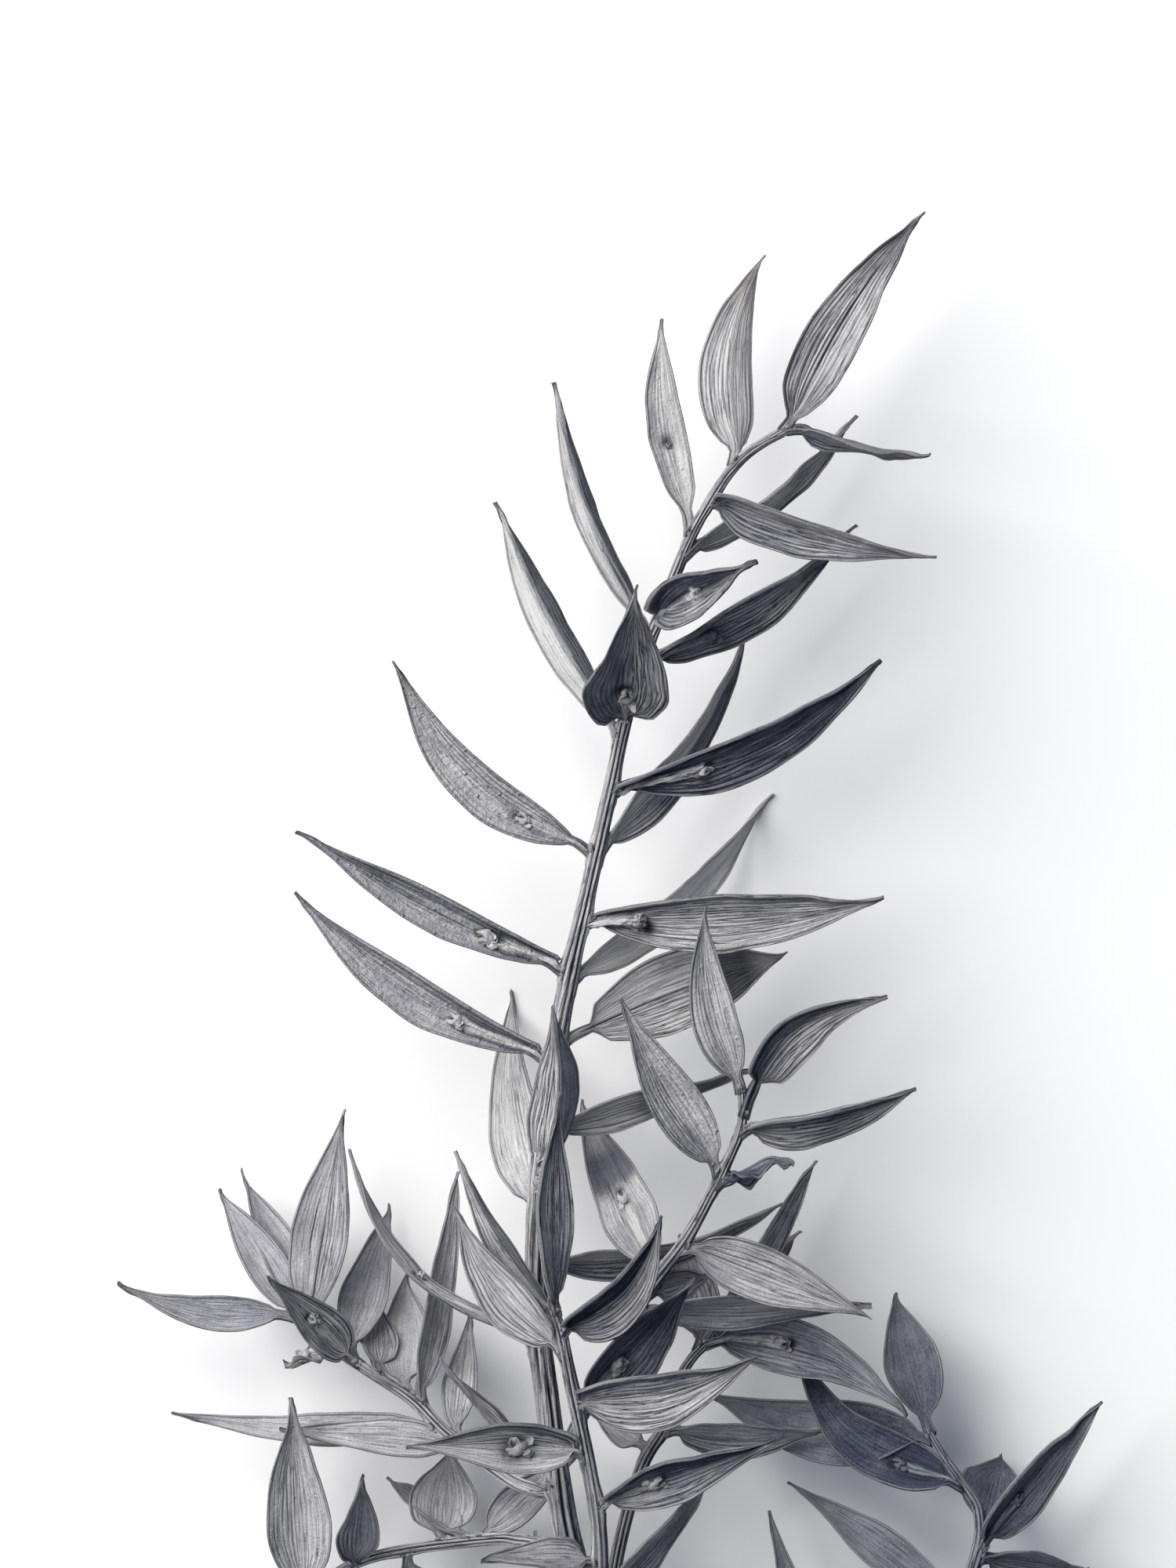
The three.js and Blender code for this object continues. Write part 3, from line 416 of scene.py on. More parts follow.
# ---- numbers to surfaces ----
def noise(x, y=0.0, z=0.0):
    """Smooth value noise from -1 to 1: a hashed value at each whole-number place, blended between
    them by smoothsteps."""
    x, y, z = np.broadcast_arrays(x, y, z)
    corner = [np.floor(axis) for axis in (x, y, z)]
    share = [axis - low for axis, low in zip((x, y, z), corner)]
    share = [s * s * (3 - 2 * s) for s in share]
    total = np.zeros(x.shape)
    for near in itertools.product((0, 1), repeat=3):
        phase = sum((low + step) * scale for low, step, scale in zip(corner, near, HASH_STEPS))
        value = np.sin(phase) * HASH_SCALE
        weight = math.prod(s if step else 1 - s for s, step in zip(share, near))
        total += weight * (value - np.floor(value))
    return 2 * total - 1


def noise_at(places):
    """The noise at places of shape (..., 3)."""
    return noise(places[..., 0], places[..., 1], places[..., 2])


def round_turn(count):
    """Evenly spaced angles round a full turn, as a row."""
    return np.linspace(0, 2 * np.pi, count, endpoint=False)[None, :]


def unit(vectors):
    """Vectors scaled to length 1."""
    return vectors / np.linalg.norm(vectors, axis=-1, keepdims=True)


def smooth(low, high, x):
    """Smoothstep from 0 at low to 1 at high."""
    s = np.clip((x - low) / (high - low), 0, 1)
    return s * s * (3 - 2 * s)


def bell(x, width):
    """A bell curve of height 1 round 0."""
    return np.exp(-((x / width) ** 2))


def skin(rings, grain, **marks):
    """A closed skin through rings of points, shape (n, m, 3), with a pole at each end.

    grain has the same shape, and marks are values at the points, of shape (n, m)."""
    n, m = rings.shape[:2]
    index = np.arange(n * m).reshape(n, m)
    following = np.roll(index, -1, axis=1)
    quads = np.stack([index[:-1], following[:-1], following[1:], index[1:]], axis=-1).reshape(-1, 4)
    first = np.stack([np.full(m, n * m), following[0], index[0]], axis=-1)
    last = np.stack([np.full(m, n * m + 1), index[-1], following[-1]], axis=-1)

    def closed(values):
        flat = values.reshape(n * m, -1)
        ends = [values[end].reshape(m, -1).mean(0) for end in (0, -1)]
        return np.vstack([flat, *ends])

    return {"points": closed(rings), "grain": closed(grain), "quads": quads,
            "tris": np.vstack([first, last]),
            "marks": {name: closed(np.broadcast_to(value, (n, m))) for name, value in marks.items()}}


MARKS = ("crease", "rim_highlight", "tone", "ribbed", "pimpled", "tan", "bloom")  # attributes of the points


def make_piece(name, skins, material, node):
    """Joins skins into one mesh object at the origin, in metres, and stands it for a node."""
    offsets = np.cumsum([0] + [len(s["points"]) for s in skins])
    points = np.vstack([s["points"] for s in skins])
    points[:, :2] -= PLAN_CENTRE
    points[:, 2] = np.maximum(points[:, 2], FLOOR_TOUCH)
    quads = np.vstack([s["quads"] + o for s, o in zip(skins, offsets)])
    tris = np.vstack([s["tris"] + o for s, o in zip(skins, offsets)])
    corners = np.concatenate([quads.ravel(), tris.ravel()])
    starts = np.concatenate([np.arange(len(quads)) * 4, 4 * len(quads) + np.arange(len(tris)) * 3])
    mesh = bpy.data.meshes.new(name)
    mesh.vertices.add(len(points))
    mesh.vertices.foreach_set("co", (points * MM).astype(np.float32).ravel())
    mesh.loops.add(len(corners))
    mesh.loops.foreach_set("vertex_index", corners.astype(np.int32))
    mesh.polygons.add(len(starts))
    mesh.polygons.foreach_set("loop_start", starts.astype(np.int32))
    mesh.polygons.foreach_set("use_smooth", np.ones(len(starts), bool))
    for mark in MARKS:
        values = np.vstack([s["marks"].get(mark, np.zeros((len(s["points"]), 1))) for s in skins])
        layer = mesh.attributes.new(mark, "FLOAT", "POINT")
        layer.data.foreach_set("value", values.astype(np.float32).ravel())
    values = np.vstack([s["grain"] for s in skins])
    grain = mesh.attributes.new("grain", "FLOAT_VECTOR", "POINT")
    grain.data.foreach_set("vector", values.astype(np.float32).ravel())
    mesh.update(calc_edges=True)
    mesh.materials.append(material)
    piece = bpy.data.objects.new(name, mesh)
    bpy.context.scene.collection.objects.link(piece)
    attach(piece, BODY)
    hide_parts(node)
    return piece


def tube(path, first, second, wide, tall):
    """Rings round a path. wide and tall, of shape (n, m), go along the first and second axes."""
    return path[:, None] + wide[..., None] * first + tall[..., None] * second


# ---- stems ----
def stem_axis(stem, t):
    """Points, tangents and radii at shares t of a stem: a uniform Catmull-Rom curve of tension 0.5
    through its places, and a radius that changes evenly from place to place."""
    places = np.array(stem, float)
    ends = np.vstack([2 * places[0] - places[1], places, 2 * places[-1] - places[-2]])
    at = np.clip(t, 0, 1) * (len(places) - 1)
    before = np.minimum(np.floor(at).astype(int), len(places) - 2)
    s = (at - before)[:, None]
    p0, p1, p2, p3 = (ends[before + k, :3] for k in range(4))
    rise, fall = 0.5 * (p2 - p0), 0.5 * (p3 - p1)
    square = -3 * p1 + 3 * p2 - 2 * rise - fall
    cube = 2 * p1 - 2 * p2 + rise + fall
    points = p1 + rise * s + square * s**2 + cube * s**3
    along = unit(rise + 2 * square * s + 3 * cube * s**2)
    radii = places[before, 3] * (1 - s[:, 0]) + places[before + 1, 3] * s[:, 0]
    return points, along, radii


def blade_start(stem, form):
    """A blade's root, which is the stem's axis point nearest in plan, its chord, and the stem's
    direction and radius there."""
    points, along, radii = stem_axis(stem, np.linspace(0, 1, AXIS_SAMPLES + 1))
    gap = np.hypot(points[:, 0] - form.start[0], points[:, 1] - form.start[1])
    near = np.argmin(gap)
    root = points[near]
    return root, np.array([*form.tip, root[2] + form.rise]) - root, along[near], radii[near]


def leaving(chord, along):
    """The direction, square to the stem, in which a blade leaves it."""
    return unit(chord - along * (chord @ along))


def cut_end(rings, grain, marks, middle, along):
    """Adds rings of pith, pale wood and bark inside the first ring of a stem, as its cut end."""
    face, deep = np.array(CUT_RINGS).T[..., None, None]
    rings = np.concatenate([middle + face * (rings[0] - middle) + deep * along, rings])
    grain = np.concatenate([np.repeat(grain[:1], len(CUT_RINGS), axis=0), grain])
    marks = {name: np.concatenate([np.tile(np.array([CUT_MARKS[name]]).T, rings.shape[1]), value])
             for name, value in marks.items()}
    return rings, grain, marks


def stem_skin(stem, blades, ridges, looks, step, seed, tones, sunk=0.0):
    """A ridged stem: flat-topped ridges with narrow grooves between them, carried along the axis
    while they turn slowly and wander. It swells a little where each blade leaves. A side stem starts
    as a tapered root, sunk in the stem that it grows from, and the main stem at a cut end."""
    shares = np.linspace(0, 1, STEM_SAMPLES)
    dense = stem_axis(stem, shares)[0]
    run = np.concatenate([[0], np.cumsum(np.linalg.norm(np.diff(dense, axis=0), axis=1))])
    reach = np.linspace(-sunk, run[-1], max(8, round(run[-1] / step)) + 1)
    centre, along, radii = stem_axis(stem, np.interp(reach, run, shares))
    radii = radii * (1 + ROOT_TAPER * np.minimum(reach, 0) / max(sunk, 1.0))
    centre = centre + along * np.minimum(reach, 0)[:, None]
    side = unit(np.cross([0, 0, 1], along))
    up = np.cross(along, side)
    s = reach[:, None]
    ridge = np.repeat(np.arange(ridges), len(RIDGE_COLUMNS))
    part = np.tile(RIDGE_COLUMNS, ridges)
    after = (ridge + 1) % ridges
    stray = (1 - part) * noise(s / 8, 3.1 * ridge + seed) + part * noise(s / 8, 3.1 * after + seed)
    angle = (ridge + part + RIDGE_WANDER * stray) * 2 * np.pi / ridges + RIDGE_TWIST * s
    groove = np.where(part < 0.5, ridge, after)
    strength = np.clip(0.85 + 0.7 * noise(s / 7, 5.7 * groove + seed), 0.25, 1)
    drop = np.tile(RIDGE_DROP, ridges) * strength
    swell = np.zeros_like(angle)
    for form in blades:
        root, chord, _, _ = blade_start(stem, form)
        near = np.argmin(np.linalg.norm(centre - root, axis=1))
        heading = np.arctan2(chord @ up[near], chord @ side[near])
        facing = np.clip(np.cos(angle - heading), 0, 1) ** 2
        passed = s - reach[near]
        swell = np.maximum(swell, facing * (bell(passed, 1.4) + 0.35 * bell(passed + 1.5, 0.3)))
        drop = drop * (1 - 0.5 * facing * bell(passed, 1.2))
    rough = 0.025 * noise(s / 4, 2.2 * ridge + seed) + 0.012 * noise(s / 0.7, 9 * angle, seed)
    radius = radii[:, None] * (1 - looks.groove * drop + rough + looks.collar * swell)
    outward = np.cos(angle)[..., None] * side[:, None] + np.sin(angle)[..., None] * up[:, None]
    tone = tones[0] + (tones[1] - tones[0]) * smooth(0.48, 0.68, s / reach[-1])
    # painted shade: a stem is darker on the side away from the key light
    shaded = smooth(0.1, 0.8, outward @ np.array(PAINTED_SHADE_WAY) + 0.3 * noise(s / 9, seed))
    rings = centre[:, None] + radius[..., None] * outward
    grain = np.stack(np.broadcast_arrays(radii[:, None] * angle, s, seed), axis=-1)
    # painted shade in the grooves and on the darker side; the collars are paler
    marks = {"crease": np.maximum(np.tile(RIDGE_SHADE, ridges) * strength, 0.35 * shaded),
             "bloom": 0.5 * swell, "tone": tone - PAINTED_SHADE_DEPTH * shaded, "ribbed": 0.8 + 0 * angle}
    if not sunk:
        rings, grain, marks = cut_end(rings, grain, marks, centre[0], along[0])
    return skin(rings, grain, **marks)


def scale_skin(stem, form, seed, looks):
    """The dry scale under a blade's root: a small curled triangle, ragged at its tip, that starts
    on the stem's surface and leans outwards."""
    root, chord, along, radius = blade_start(stem, form)
    out = leaving(chord, along)
    across = np.cross(out, along)
    long = looks.scale / MM * (1 + 0.3 * noise(seed, 5.5)) * min(1, 0.55 + 0.4 * radius)
    s = np.linspace(0, 1, SCALE_GRID[0])
    v = round_turn(SCALE_GRID[1])
    path = (root - along * 0.75 * long + out * (radius * 0.95) + np.outer(long * s, along)
            + np.outer(0.1 + 0.3 * s**2 * (1 + noise(seed, 2.1)), out))
    half = (0.42 * long * (1 - s) ** 0.65 * (1 + 0.25 * noise(7 * s, seed)) + 0.03)[:, None]
    curl = -0.45 * half * np.cos(v) ** 2 + 0.12 * noise(5 * s[:, None], np.cos(v), seed)
    rings = tube(path, across, out, half * np.cos(v), 0.05 * np.sin(v) + curl)
    return skin(rings, 2 * rings, bloom=0.7, crease=0.3 * (1 - s)[:, None])


# ---- blades ----
def midrib(stem, form, t, seed):
    """Centre and axes of a blade's sections: a straight chord bowed sideways and arched by half a
    sine wave, turned about itself. It leaves along the stem, and ends in a slight hook. Where it
    would sink into the floor, it settles on it instead."""
    root, chord, stem_along, _ = blade_start(stem, form)
    length = np.linalg.norm(chord)
    left = unit(np.cross([0, 0, 1], chord))
    top = np.cross(chord / length, left)
    bend = length * (form.bow * left + form.arch * top)
    s = t[:, None]
    centre = root + chord * s + bend * np.sin(np.pi * s)
    centre = centre - stem_along * 1.1 * np.clip(1 - s / 0.09, 0, 1) ** 2
    along = unit(chord + bend * np.pi * np.cos(np.pi * s))
    flat = unit(np.cross(top, along))
    wobble = 4 * form.crumple * noise(3 * t, seed)
    turn = form.roll + form.twist * t + wobble * np.minimum(1, 4 * t)
    turn = np.radians(turn)[:, None]
    side = flat * np.cos(turn) + np.cross(along, flat) * np.sin(turn)
    up = np.cross(along, side)
    hook = HOOK * np.clip((s - 0.93) / 0.07, 0, 1) ** 2
    centre = centre + hook * (up * noise(seed, 3.3) + side * noise(seed, 8.1))
    low, high = SETTLED
    settled = low + (high - low) * np.exp((centre[:, 2] - high) / (high - low))
    centre[:, 2] = np.where(centre[:, 2] < high, settled, centre[:, 2])
    return centre, along, side, up


def outline(form, t, hand, out):
    """Half the blade's width: a sine hump that peaks at the belly, widened by a broad heel beyond a
    narrow neck. out is the distance from the stem's skin. A thick margin starts abruptly."""
    swell = np.sin(np.pi * t ** (math.log(0.5) / math.log(form.belly))) ** TAPER
    neck, ends = form.neck, 0.6 if form.rolled == hand else 3.2
    heel = form.heel * smooth(neck, neck + ends, out) * np.clip(1 - t / 0.5, 0, 1) ** 0.7
    body = np.hypot(0.5 * form.wide * swell * smooth(neck - 0.7, neck + 0.8, out), heel)
    return np.maximum(body, NECK_HALF * smooth(0.3, 0.1, t) * (1 - 0.12 * smooth(0, neck, out)))


def for_half(value, hand):
    """A blade's value, or that of a pair, on its left half (hand 1) or its right half (hand -1)."""
    return value[hand < 0] if isinstance(value, tuple) else value


def margin(form, hand, half, looks):
    """Width and half thickness of the bead along a margin."""
    thick = THICK_EDGE if form.rolled == hand else 1.0
    band = np.minimum(0.36 * thick, 0.32 * half)
    return band, np.minimum(looks.bead / MM * thick, 0.5 * band)


def add_crevices(leaf, across, lift, crease):
    """Sinks the midrib's crevice, and the trough inside a thick margin, into the upper face, and
    darkens both with painted shade.
    """
    form, s, half = leaf.form, leaf.s, leaf.half
    crack = form.crack * smooth(0.03, 0.12, s) * smooth(0.95, 0.7, s)
    crack = crack * np.clip(0.8 + 0.5 * noise(leaf.mm / 3, leaf.seed), 0, 1)
    lift = lift - 0.28 * crack * bell(across, 0.16)
    crease = np.maximum(crease, crack * bell(across, 0.15))
    if form.rolled == leaf.hand:
        trough = bell(across - (half - leaf.band - 0.3), 0.24)
        trough = trough * smooth(0.04, 0.12, s) * smooth(0.97, 0.8, s)
        lift = lift - 0.18 * trough
        crease = np.maximum(crease, (0.5 + 0.4 * smooth(0.4, 0.1, s)) * trough)
    return lift, crease


def add_flower_bed(leaf, across, lift, crease, bloom):
    """Raises the cord that runs up a blade to its flower and the mound under it, and sinks the
    hollow beside it, the rift in the mound and the gutter along the cord. Returns the three
    changed values, and how far each place belongs to the cord."""
    form, mm, hand, seed = leaf.form, leaf.mm, leaf.hand, leaf.seed
    flower, strap = form.flower, form.strap
    beyond, side = mm - form.knot * leaf.length, hand * across
    ragged = 0.5 * noise(side / 0.35, seed) + 0.25 * noise(mm / 0.8, seed)
    broad = 0.45 + (0.1 + 0.25 * strap) * flower * np.clip(leaf.s / form.knot, 0, 1)
    broad = broad * (1 + 0.25 * noise(mm / 1.1, hand * 3.0 + seed))
    cord = smooth(1.16 * broad, 0.84 * broad, across) * smooth(0.35, -0.2, beyond + ragged)
    cord = cord * smooth(-0.5, 0.9, leaf.out)
    wrinkled = 1 + 0.3 * noise(mm / 1.0, side / 0.35, seed)
    wrinkled = wrinkled + 0.2 * noise(mm / 0.35, side / 0.2, seed)
    lift = lift + (0.12 + 0.4 * strap) * flower * cord * wrinkled
    mound = bell(np.hypot(beyond, 1.2 * side), 0.95 * flower)
    lumps = 0.6 * noise(mm / 0.5, side / 0.45, seed)
    lumps = lumps + 0.6 * np.abs(noise(mm / 0.8, side / 0.7, seed))
    lift = lift + 0.5 * flower * mound * lumps
    ahead, aside, wide = form.hollow or (0.9 * flower, 0.2 * flower, 0.68 * flower)
    hollow = bell(beyond - ahead, 0.9 * wide) * bell(side - aside - 0.3 * ragged, 1.1 * wide)
    rift = bell(side - 0.5 * flower * noise(mm / 1.5, seed) - 0.5 * broad, 0.2)
    rift = rift * bell(beyond + 0.3, 1.7 * flower)
    gutter = bell(across - 1.25 * broad, 0.14) * smooth(0.3, -0.4, beyond) * min(1, strap)
    # painted shade in the hollow, the rift and the gutter
    pit = np.maximum(hollow, np.maximum(0.8 * rift, 0.9 * gutter))
    crease = np.maximum(crease * (1 - 0.7 * cord), pit)
    lift = lift - 0.14 * hollow - 0.12 * rift
    # the cord and the mound are paler, partly by a painted highlight
    bloom = np.maximum(bloom, (0.35 + 0.5 * strap) * np.maximum(cord, mound) * (1 - pit))
    return lift, crease, bloom, min(1, 0.9 * strap) * np.maximum(cord, 0.5 * mound)


def dye_tone(leaf, across, corded):
    """How pale a place is: each half's tone, partly from the dye and partly painted shade and painted
    light, blended over the midrib and darker at the base.
    """
    form, hand = leaf.form, leaf.hand
    tone, other = (for_half(form.tone, which) for which in (hand, -hand))
    tone = tone + 0.5 * (other - tone) * (1 - smooth(0, 0.25, across))
    tone = tone - form.root * smooth(0.45, 0.05, leaf.s)
    return tone + (STRAP_TONE - tone) * corded


def half_sheet(leaf, looks, upper):
    """One face of one half of a blade, from the midrib to its margin.

    Its columns follow the creases, which wander and fade, and end in the bead that is rolled along
    the margin. Returns places across, the height of the sheet's middle, the face's distance from
    it, and a dict of marks."""
    form, hand, seed, s, mm, half = leaf.form, leaf.hand, leaf.seed, leaf.s, leaf.mm, leaf.half
    ribs = max(3, round(0.46 * form.wide * MM / looks.rib_pitch))
    place, height, shade, crest = (np.append(np.tile(row[:-1], ribs), row[-1])[None, :]
                                   for row in (RIB_COLUMNS if upper else UNDER_COLUMNS))
    x = (np.arange(place.size) // (place.size // ribs) + place) / ribs
    rib = np.floor(x * ribs + 0.5)
    crumple, ribbed = form.crumple, for_half(form.ribs, hand)
    wander = 0.36 * noise(mm / 4.5, rib * 1.7 + seed, hand)
    wander = wander + 0.16 * crumple * noise(mm / 1.5, rib * 3.1, seed)
    across = (half - leaf.band) * (x + wander / ribs * np.sin(np.pi * x))
    fade = noise(mm / 7, rib * 2.3, seed + hand) + 0.5 * noise(mm / 2, rib * 4.1, seed + hand)
    depth = np.clip(ribbed * (0.75 + 0.9 * fade), 0.04, 1)
    strength = np.where(place == 0, depth, 0.3 + 0.7 * ribbed)
    lift = np.minimum(looks.rib_depth / MM, 0.22 * half / ribs) * height * strength
    neck = smooth(form.neck + 1.2, 0.3, leaf.out)
    thick = 0.5 * looks.thickness / MM + 0.12 * bell(across, 0.4) + 0.32 * neck * bell(across, 0.6)
    thick = np.minimum(thick, 0.75 * np.maximum(half, 0.13))
    # painted shade in the creases between the ribs
    crease = shade * smooth(0.0, 0.6, depth) * (0.4 + 0.6 * smooth(0, 1.2, half))
    # painted highlight on the rib crowns, stronger near the base
    bloom = crest * depth * (0.7 + 0.8 * noise(mm / 2.5, rib * 6.1, seed))
    bloom = bloom * (1 + for_half(form.dusty, hand) * smooth(0.5, 0.15, s))
    corded = np.zeros_like(across)
    if upper:
        lift, crease = add_crevices(leaf, across, lift, crease)
    else:
        lift = lift + 0.12 * bell(across, 0.25)
    if upper and form.knot:
        lift, crease, bloom, corded = add_flower_bed(leaf, across, lift, crease, bloom)
    middle = 0.15 * crumple * noise(across * hand / 2.2, mm / 3.1, seed) * smooth(0, 0.15, s)
    middle = middle + 0.05 * crumple * noise(across * hand / 0.7, mm / 1.7, seed)
    flat = np.zeros((len(s), MARGIN_BEAD.size))
    across = np.hstack([across, half - leaf.band * MARGIN_COLUMNS])
    corded = np.hstack([corded, flat])
    # painted highlight along the margin's bead, stronger on a thick margin, and along a midrib whose
    # halves fold down
    highlight = form.edge or (1.5 if form.rolled == hand else 1.0)
    rim_highlight = np.hstack([np.zeros_like(crease), flat + highlight * MARGIN_BEAD])
    if for_half(form.folds, hand) < 0:
        rim_highlight = np.maximum(rim_highlight, 0.8 * bell(across, 0.16))
    tone = dye_tone(leaf, across, corded)
    # painted shadow: a dark band across the blade, where another blade's shadow falls
    if form.dim:
        start, stop, deep = form.dim
        start = start + 0.05 * noise(hand * across / half / 0.4, seed)
        band = smooth(start - 0.1, start, s) * smooth(stop + 0.16, stop, s)
        tone = tone - 0.5 * deep * band
        crease = np.maximum(crease, min(0.85, 0.5 * deep) * band[:, : crease.shape[1]])
    middle = np.hstack([middle, middle[:, -1:] + leaf.bead * MARGIN_CURL])
    offset = np.hstack([thick + lift, leaf.bead * MARGIN_BEAD])
    return across, middle, offset, {
        "crease": np.hstack([crease, flat + MARGIN_SHADE]), "rim_highlight": rim_highlight,
        "bloom": np.hstack([bloom, flat]), "tone": tone}


def wave_at(form, hand, t, seed):
    """Height of a margin's slow wave and its finer ruffle."""
    wave = WAVE * np.sin(2 * np.pi * WAVE_TURNS * t + form.index) * np.minimum(1, 4 * t)
    ruffle = 0.18 * form.crumple * noise(9 * t, seed + 3 * hand) * smooth(0, 0.2, t)
    return hand * wave + ruffle


def fold_at(form, hand, t):
    """Angle of one half of a blade above its section's axis: its own fold, and more at both ends,
    where a dried blade closes like a gutter."""
    fold = for_half(form.folds, hand)
    more = 10 * bell(t - 0.06, 0.08) + 20 * smooth(0.75, 1.0, t)
    return np.radians(fold + np.copysign(more, fold))


def half_blade(form, t, hand, out, length, spine, seed, looks):
    """Both faces of one half of a blade, and the line of points that they share at the margin, by
    face: 1, -1 and 0. Each is a dict of values, with a and b the places along the section's axes.
    The half leaves the midrib at a slope and curves up by a power law."""
    uneven = 0.05 * form.crumple * noise(t * length / 3.5, seed + 5 * hand)
    half = np.maximum(outline(form, t, hand, out) * (1 + uneven * smooth(0, 0.2, t)), spine)
    wide, half = half.max(), half[:, None]
    fold, wave = fold_at(form, hand, t)[:, None], wave_at(form, hand, t, seed)[:, None]
    band, bead = margin(form, hand, half, looks)
    leaf = SimpleNamespace(form=form, hand=hand, seed=seed, s=t[:, None], mm=(t * length)[:, None],
                           out=out[:, None], length=length, half=half, band=band, bead=bead)
    faces = {}
    for face in (1, -1):
        across, middle, offset, marks = half_sheet(leaf, looks, face > 0)
        w = across / half
        slope, level = np.sin(fold) * looks.cup * w ** (looks.cup - 1), np.cos(fold)
        steep = np.hypot(slope, level)
        shift = middle + face * offset
        a = hand * (across * level - shift * slope / steep)
        b = half * np.sin(fold) * w**looks.cup + wave * w**2 + shift * level / steep
        values = {"a": a, "b": b, "width": hand * w * wide, **marks}
        faces[face] = {name: value[:, ::-1] if hand * face > 0 else value[:, 1:]
                       for name, value in values.items()}
    a = hand * (half * np.cos(fold) - bead * np.sin(fold))
    b = half * np.sin(fold) + wave + bead * np.cos(fold)
    tone = faces[1]["tone"]
    # the margin line carries painted shade and the painted highlight
    faces[0] = {"a": a, "b": b, "width": 0 * a + hand * wide, "crease": 0 * a + 0.7, "rim_highlight": 0 * a + 1,
                "bloom": 0 * a, "tone": tone[:, :1] if hand > 0 else tone[:, -1:]}
    return faces


def blade_skin(stem, form, seed, looks):
    """A whole blade: a thin sheet of two folded halves, each with an upper and a lower face, that
    share the points of the two margins. It runs from inside the stem to a spiny tip."""
    _, chord, _, radius = blade_start(stem, form)
    length = np.linalg.norm(chord)
    t = np.linspace(0.012, TIP_SHARES[0], max(24, round(length / STEP_ALONG)))
    t = np.concatenate([t, TIP_SHARES[1:]])
    if form.knot:
        t = np.union1d(t, form.knot + KNOT_STEPS / length)
    out = t * length - radius
    centre, along, side, up = midrib(stem, form, t, seed)
    spine = looks.spine / MM * (1 + 0.4 * bell(t - 0.988, 0.007)) * (1 - 0.7 * smooth(0.99, 1, t))
    halves = {hand: half_blade(form, t, hand, out, length, spine, seed, looks) for hand in (1, -1)}
    order = ((1, 0), (1, 1), (-1, 1), (-1, 0), (-1, -1), (1, -1))
    ring = {name: np.hstack([halves[hand][face][name] for hand, face in order])
            for name in halves[1][0]}
    rings = tube(centre, side[:, None], up[:, None], ring["a"], ring["b"])
    share = ring["width"] / ring["width"].max()
    lobes = form.lobes or tuple(THICK_LOBE * (form.rolled == hand) for hand in (1, -1))
    lobe = np.where(share > 0, *(for_half(lobes, hand) for hand in (1, -1)))
    based = smooth(0.4, 0.04, t) * smooth(-0.3, 0.5, out - form.neck)
    lobe = lobe * np.abs(share) ** LOBE_POWER * based[:, None]
    rings = rings - lobe[..., None] * (along - LOBE_LIFT * up)[:, None]
    grain = np.stack(np.broadcast_arrays(ring["width"], (t * length)[:, None], 3.0 * seed), axis=-1)
    warm = form.warm * (smooth(0.68, 0.82, t) * smooth(1.0, 0.9, t))[:, None]
    left, right = (for_half(form.ribs, hand) for hand in (1, -1))
    ribbed = right + (left - right) * smooth(-0.4, 0.4, ring["width"])
    marks = {name: ring[name] for name in ("crease", "rim_highlight", "bloom", "tone")}
    return skin(rings, grain, tan=warm, ribbed=ribbed, pimpled=form.pimples, **marks)


# ---- dried flowers ----
def pebble(place, axes, sizes, seed, **marks):
    """A sphere pushed in and out by noise, with half sizes along three axes. A slit-shaped hollow, if
    it has one, looks along the first and third axes. Returns its skin."""
    polar = np.linspace(0.14, np.pi - 0.14, PEBBLE_GRID[0])[:, None]
    turn = round_turn(PEBBLE_GRID[1])
    n = np.stack(np.broadcast_arrays(-np.cos(polar), np.sin(polar) * np.cos(turn),
                                     np.sin(polar) * np.sin(turn)), axis=-1)
    lump = 1 + 0.25 * noise_at(1.8 * n + seed) - 0.5 * np.abs(noise_at(3.4 * n + 2 * seed))
    lump = lump + 0.16 * noise_at(7 * n + seed)
    mouth = unit(np.array([0.7, 0.5 * noise(seed, 4.4), 0.6]))
    facing = n @ mouth - 0.9 * np.abs(n[..., 1] - mouth[1] - 0.5 * (n[..., 0] - mouth[0]))
    # painted shade in the slit-shaped hollow
    pit = marks.pop("pit", 0) * smooth(0.35, 0.8, facing)
    lump = lump + 0.3 * pit * (1 - pit) * 2 - 0.6 * pit
    local = n * lump[..., None] * sizes
    # painted shade on the underside
    shade = 0.85 * smooth(0.25, -0.35, n[..., 2])
    return skin(place + local @ axes, 3 * local + seed, crease=np.maximum(pit, shade), **marks)


def pad_skin(stem, form, seed):
    """The small pad that a blade's neck stands on, half sunk into the stem."""
    root, chord, along, radius = blade_start(stem, form)
    out = leaving(chord, along)
    axes = np.array([along, np.cross(out, along), out])
    size = min(1.0, 0.12 + 0.6 * radius) * (1 + 0.12 * noise(seed, 2.9))
    place = root + out * 0.75 * radius + np.array([0.0, 0.0, 0.3])
    return pebble(place, axes, size * np.array([1.15, 0.95, 0.8]), seed,
                  bloom=0.0, tone=-0.2, ribbed=0.15)


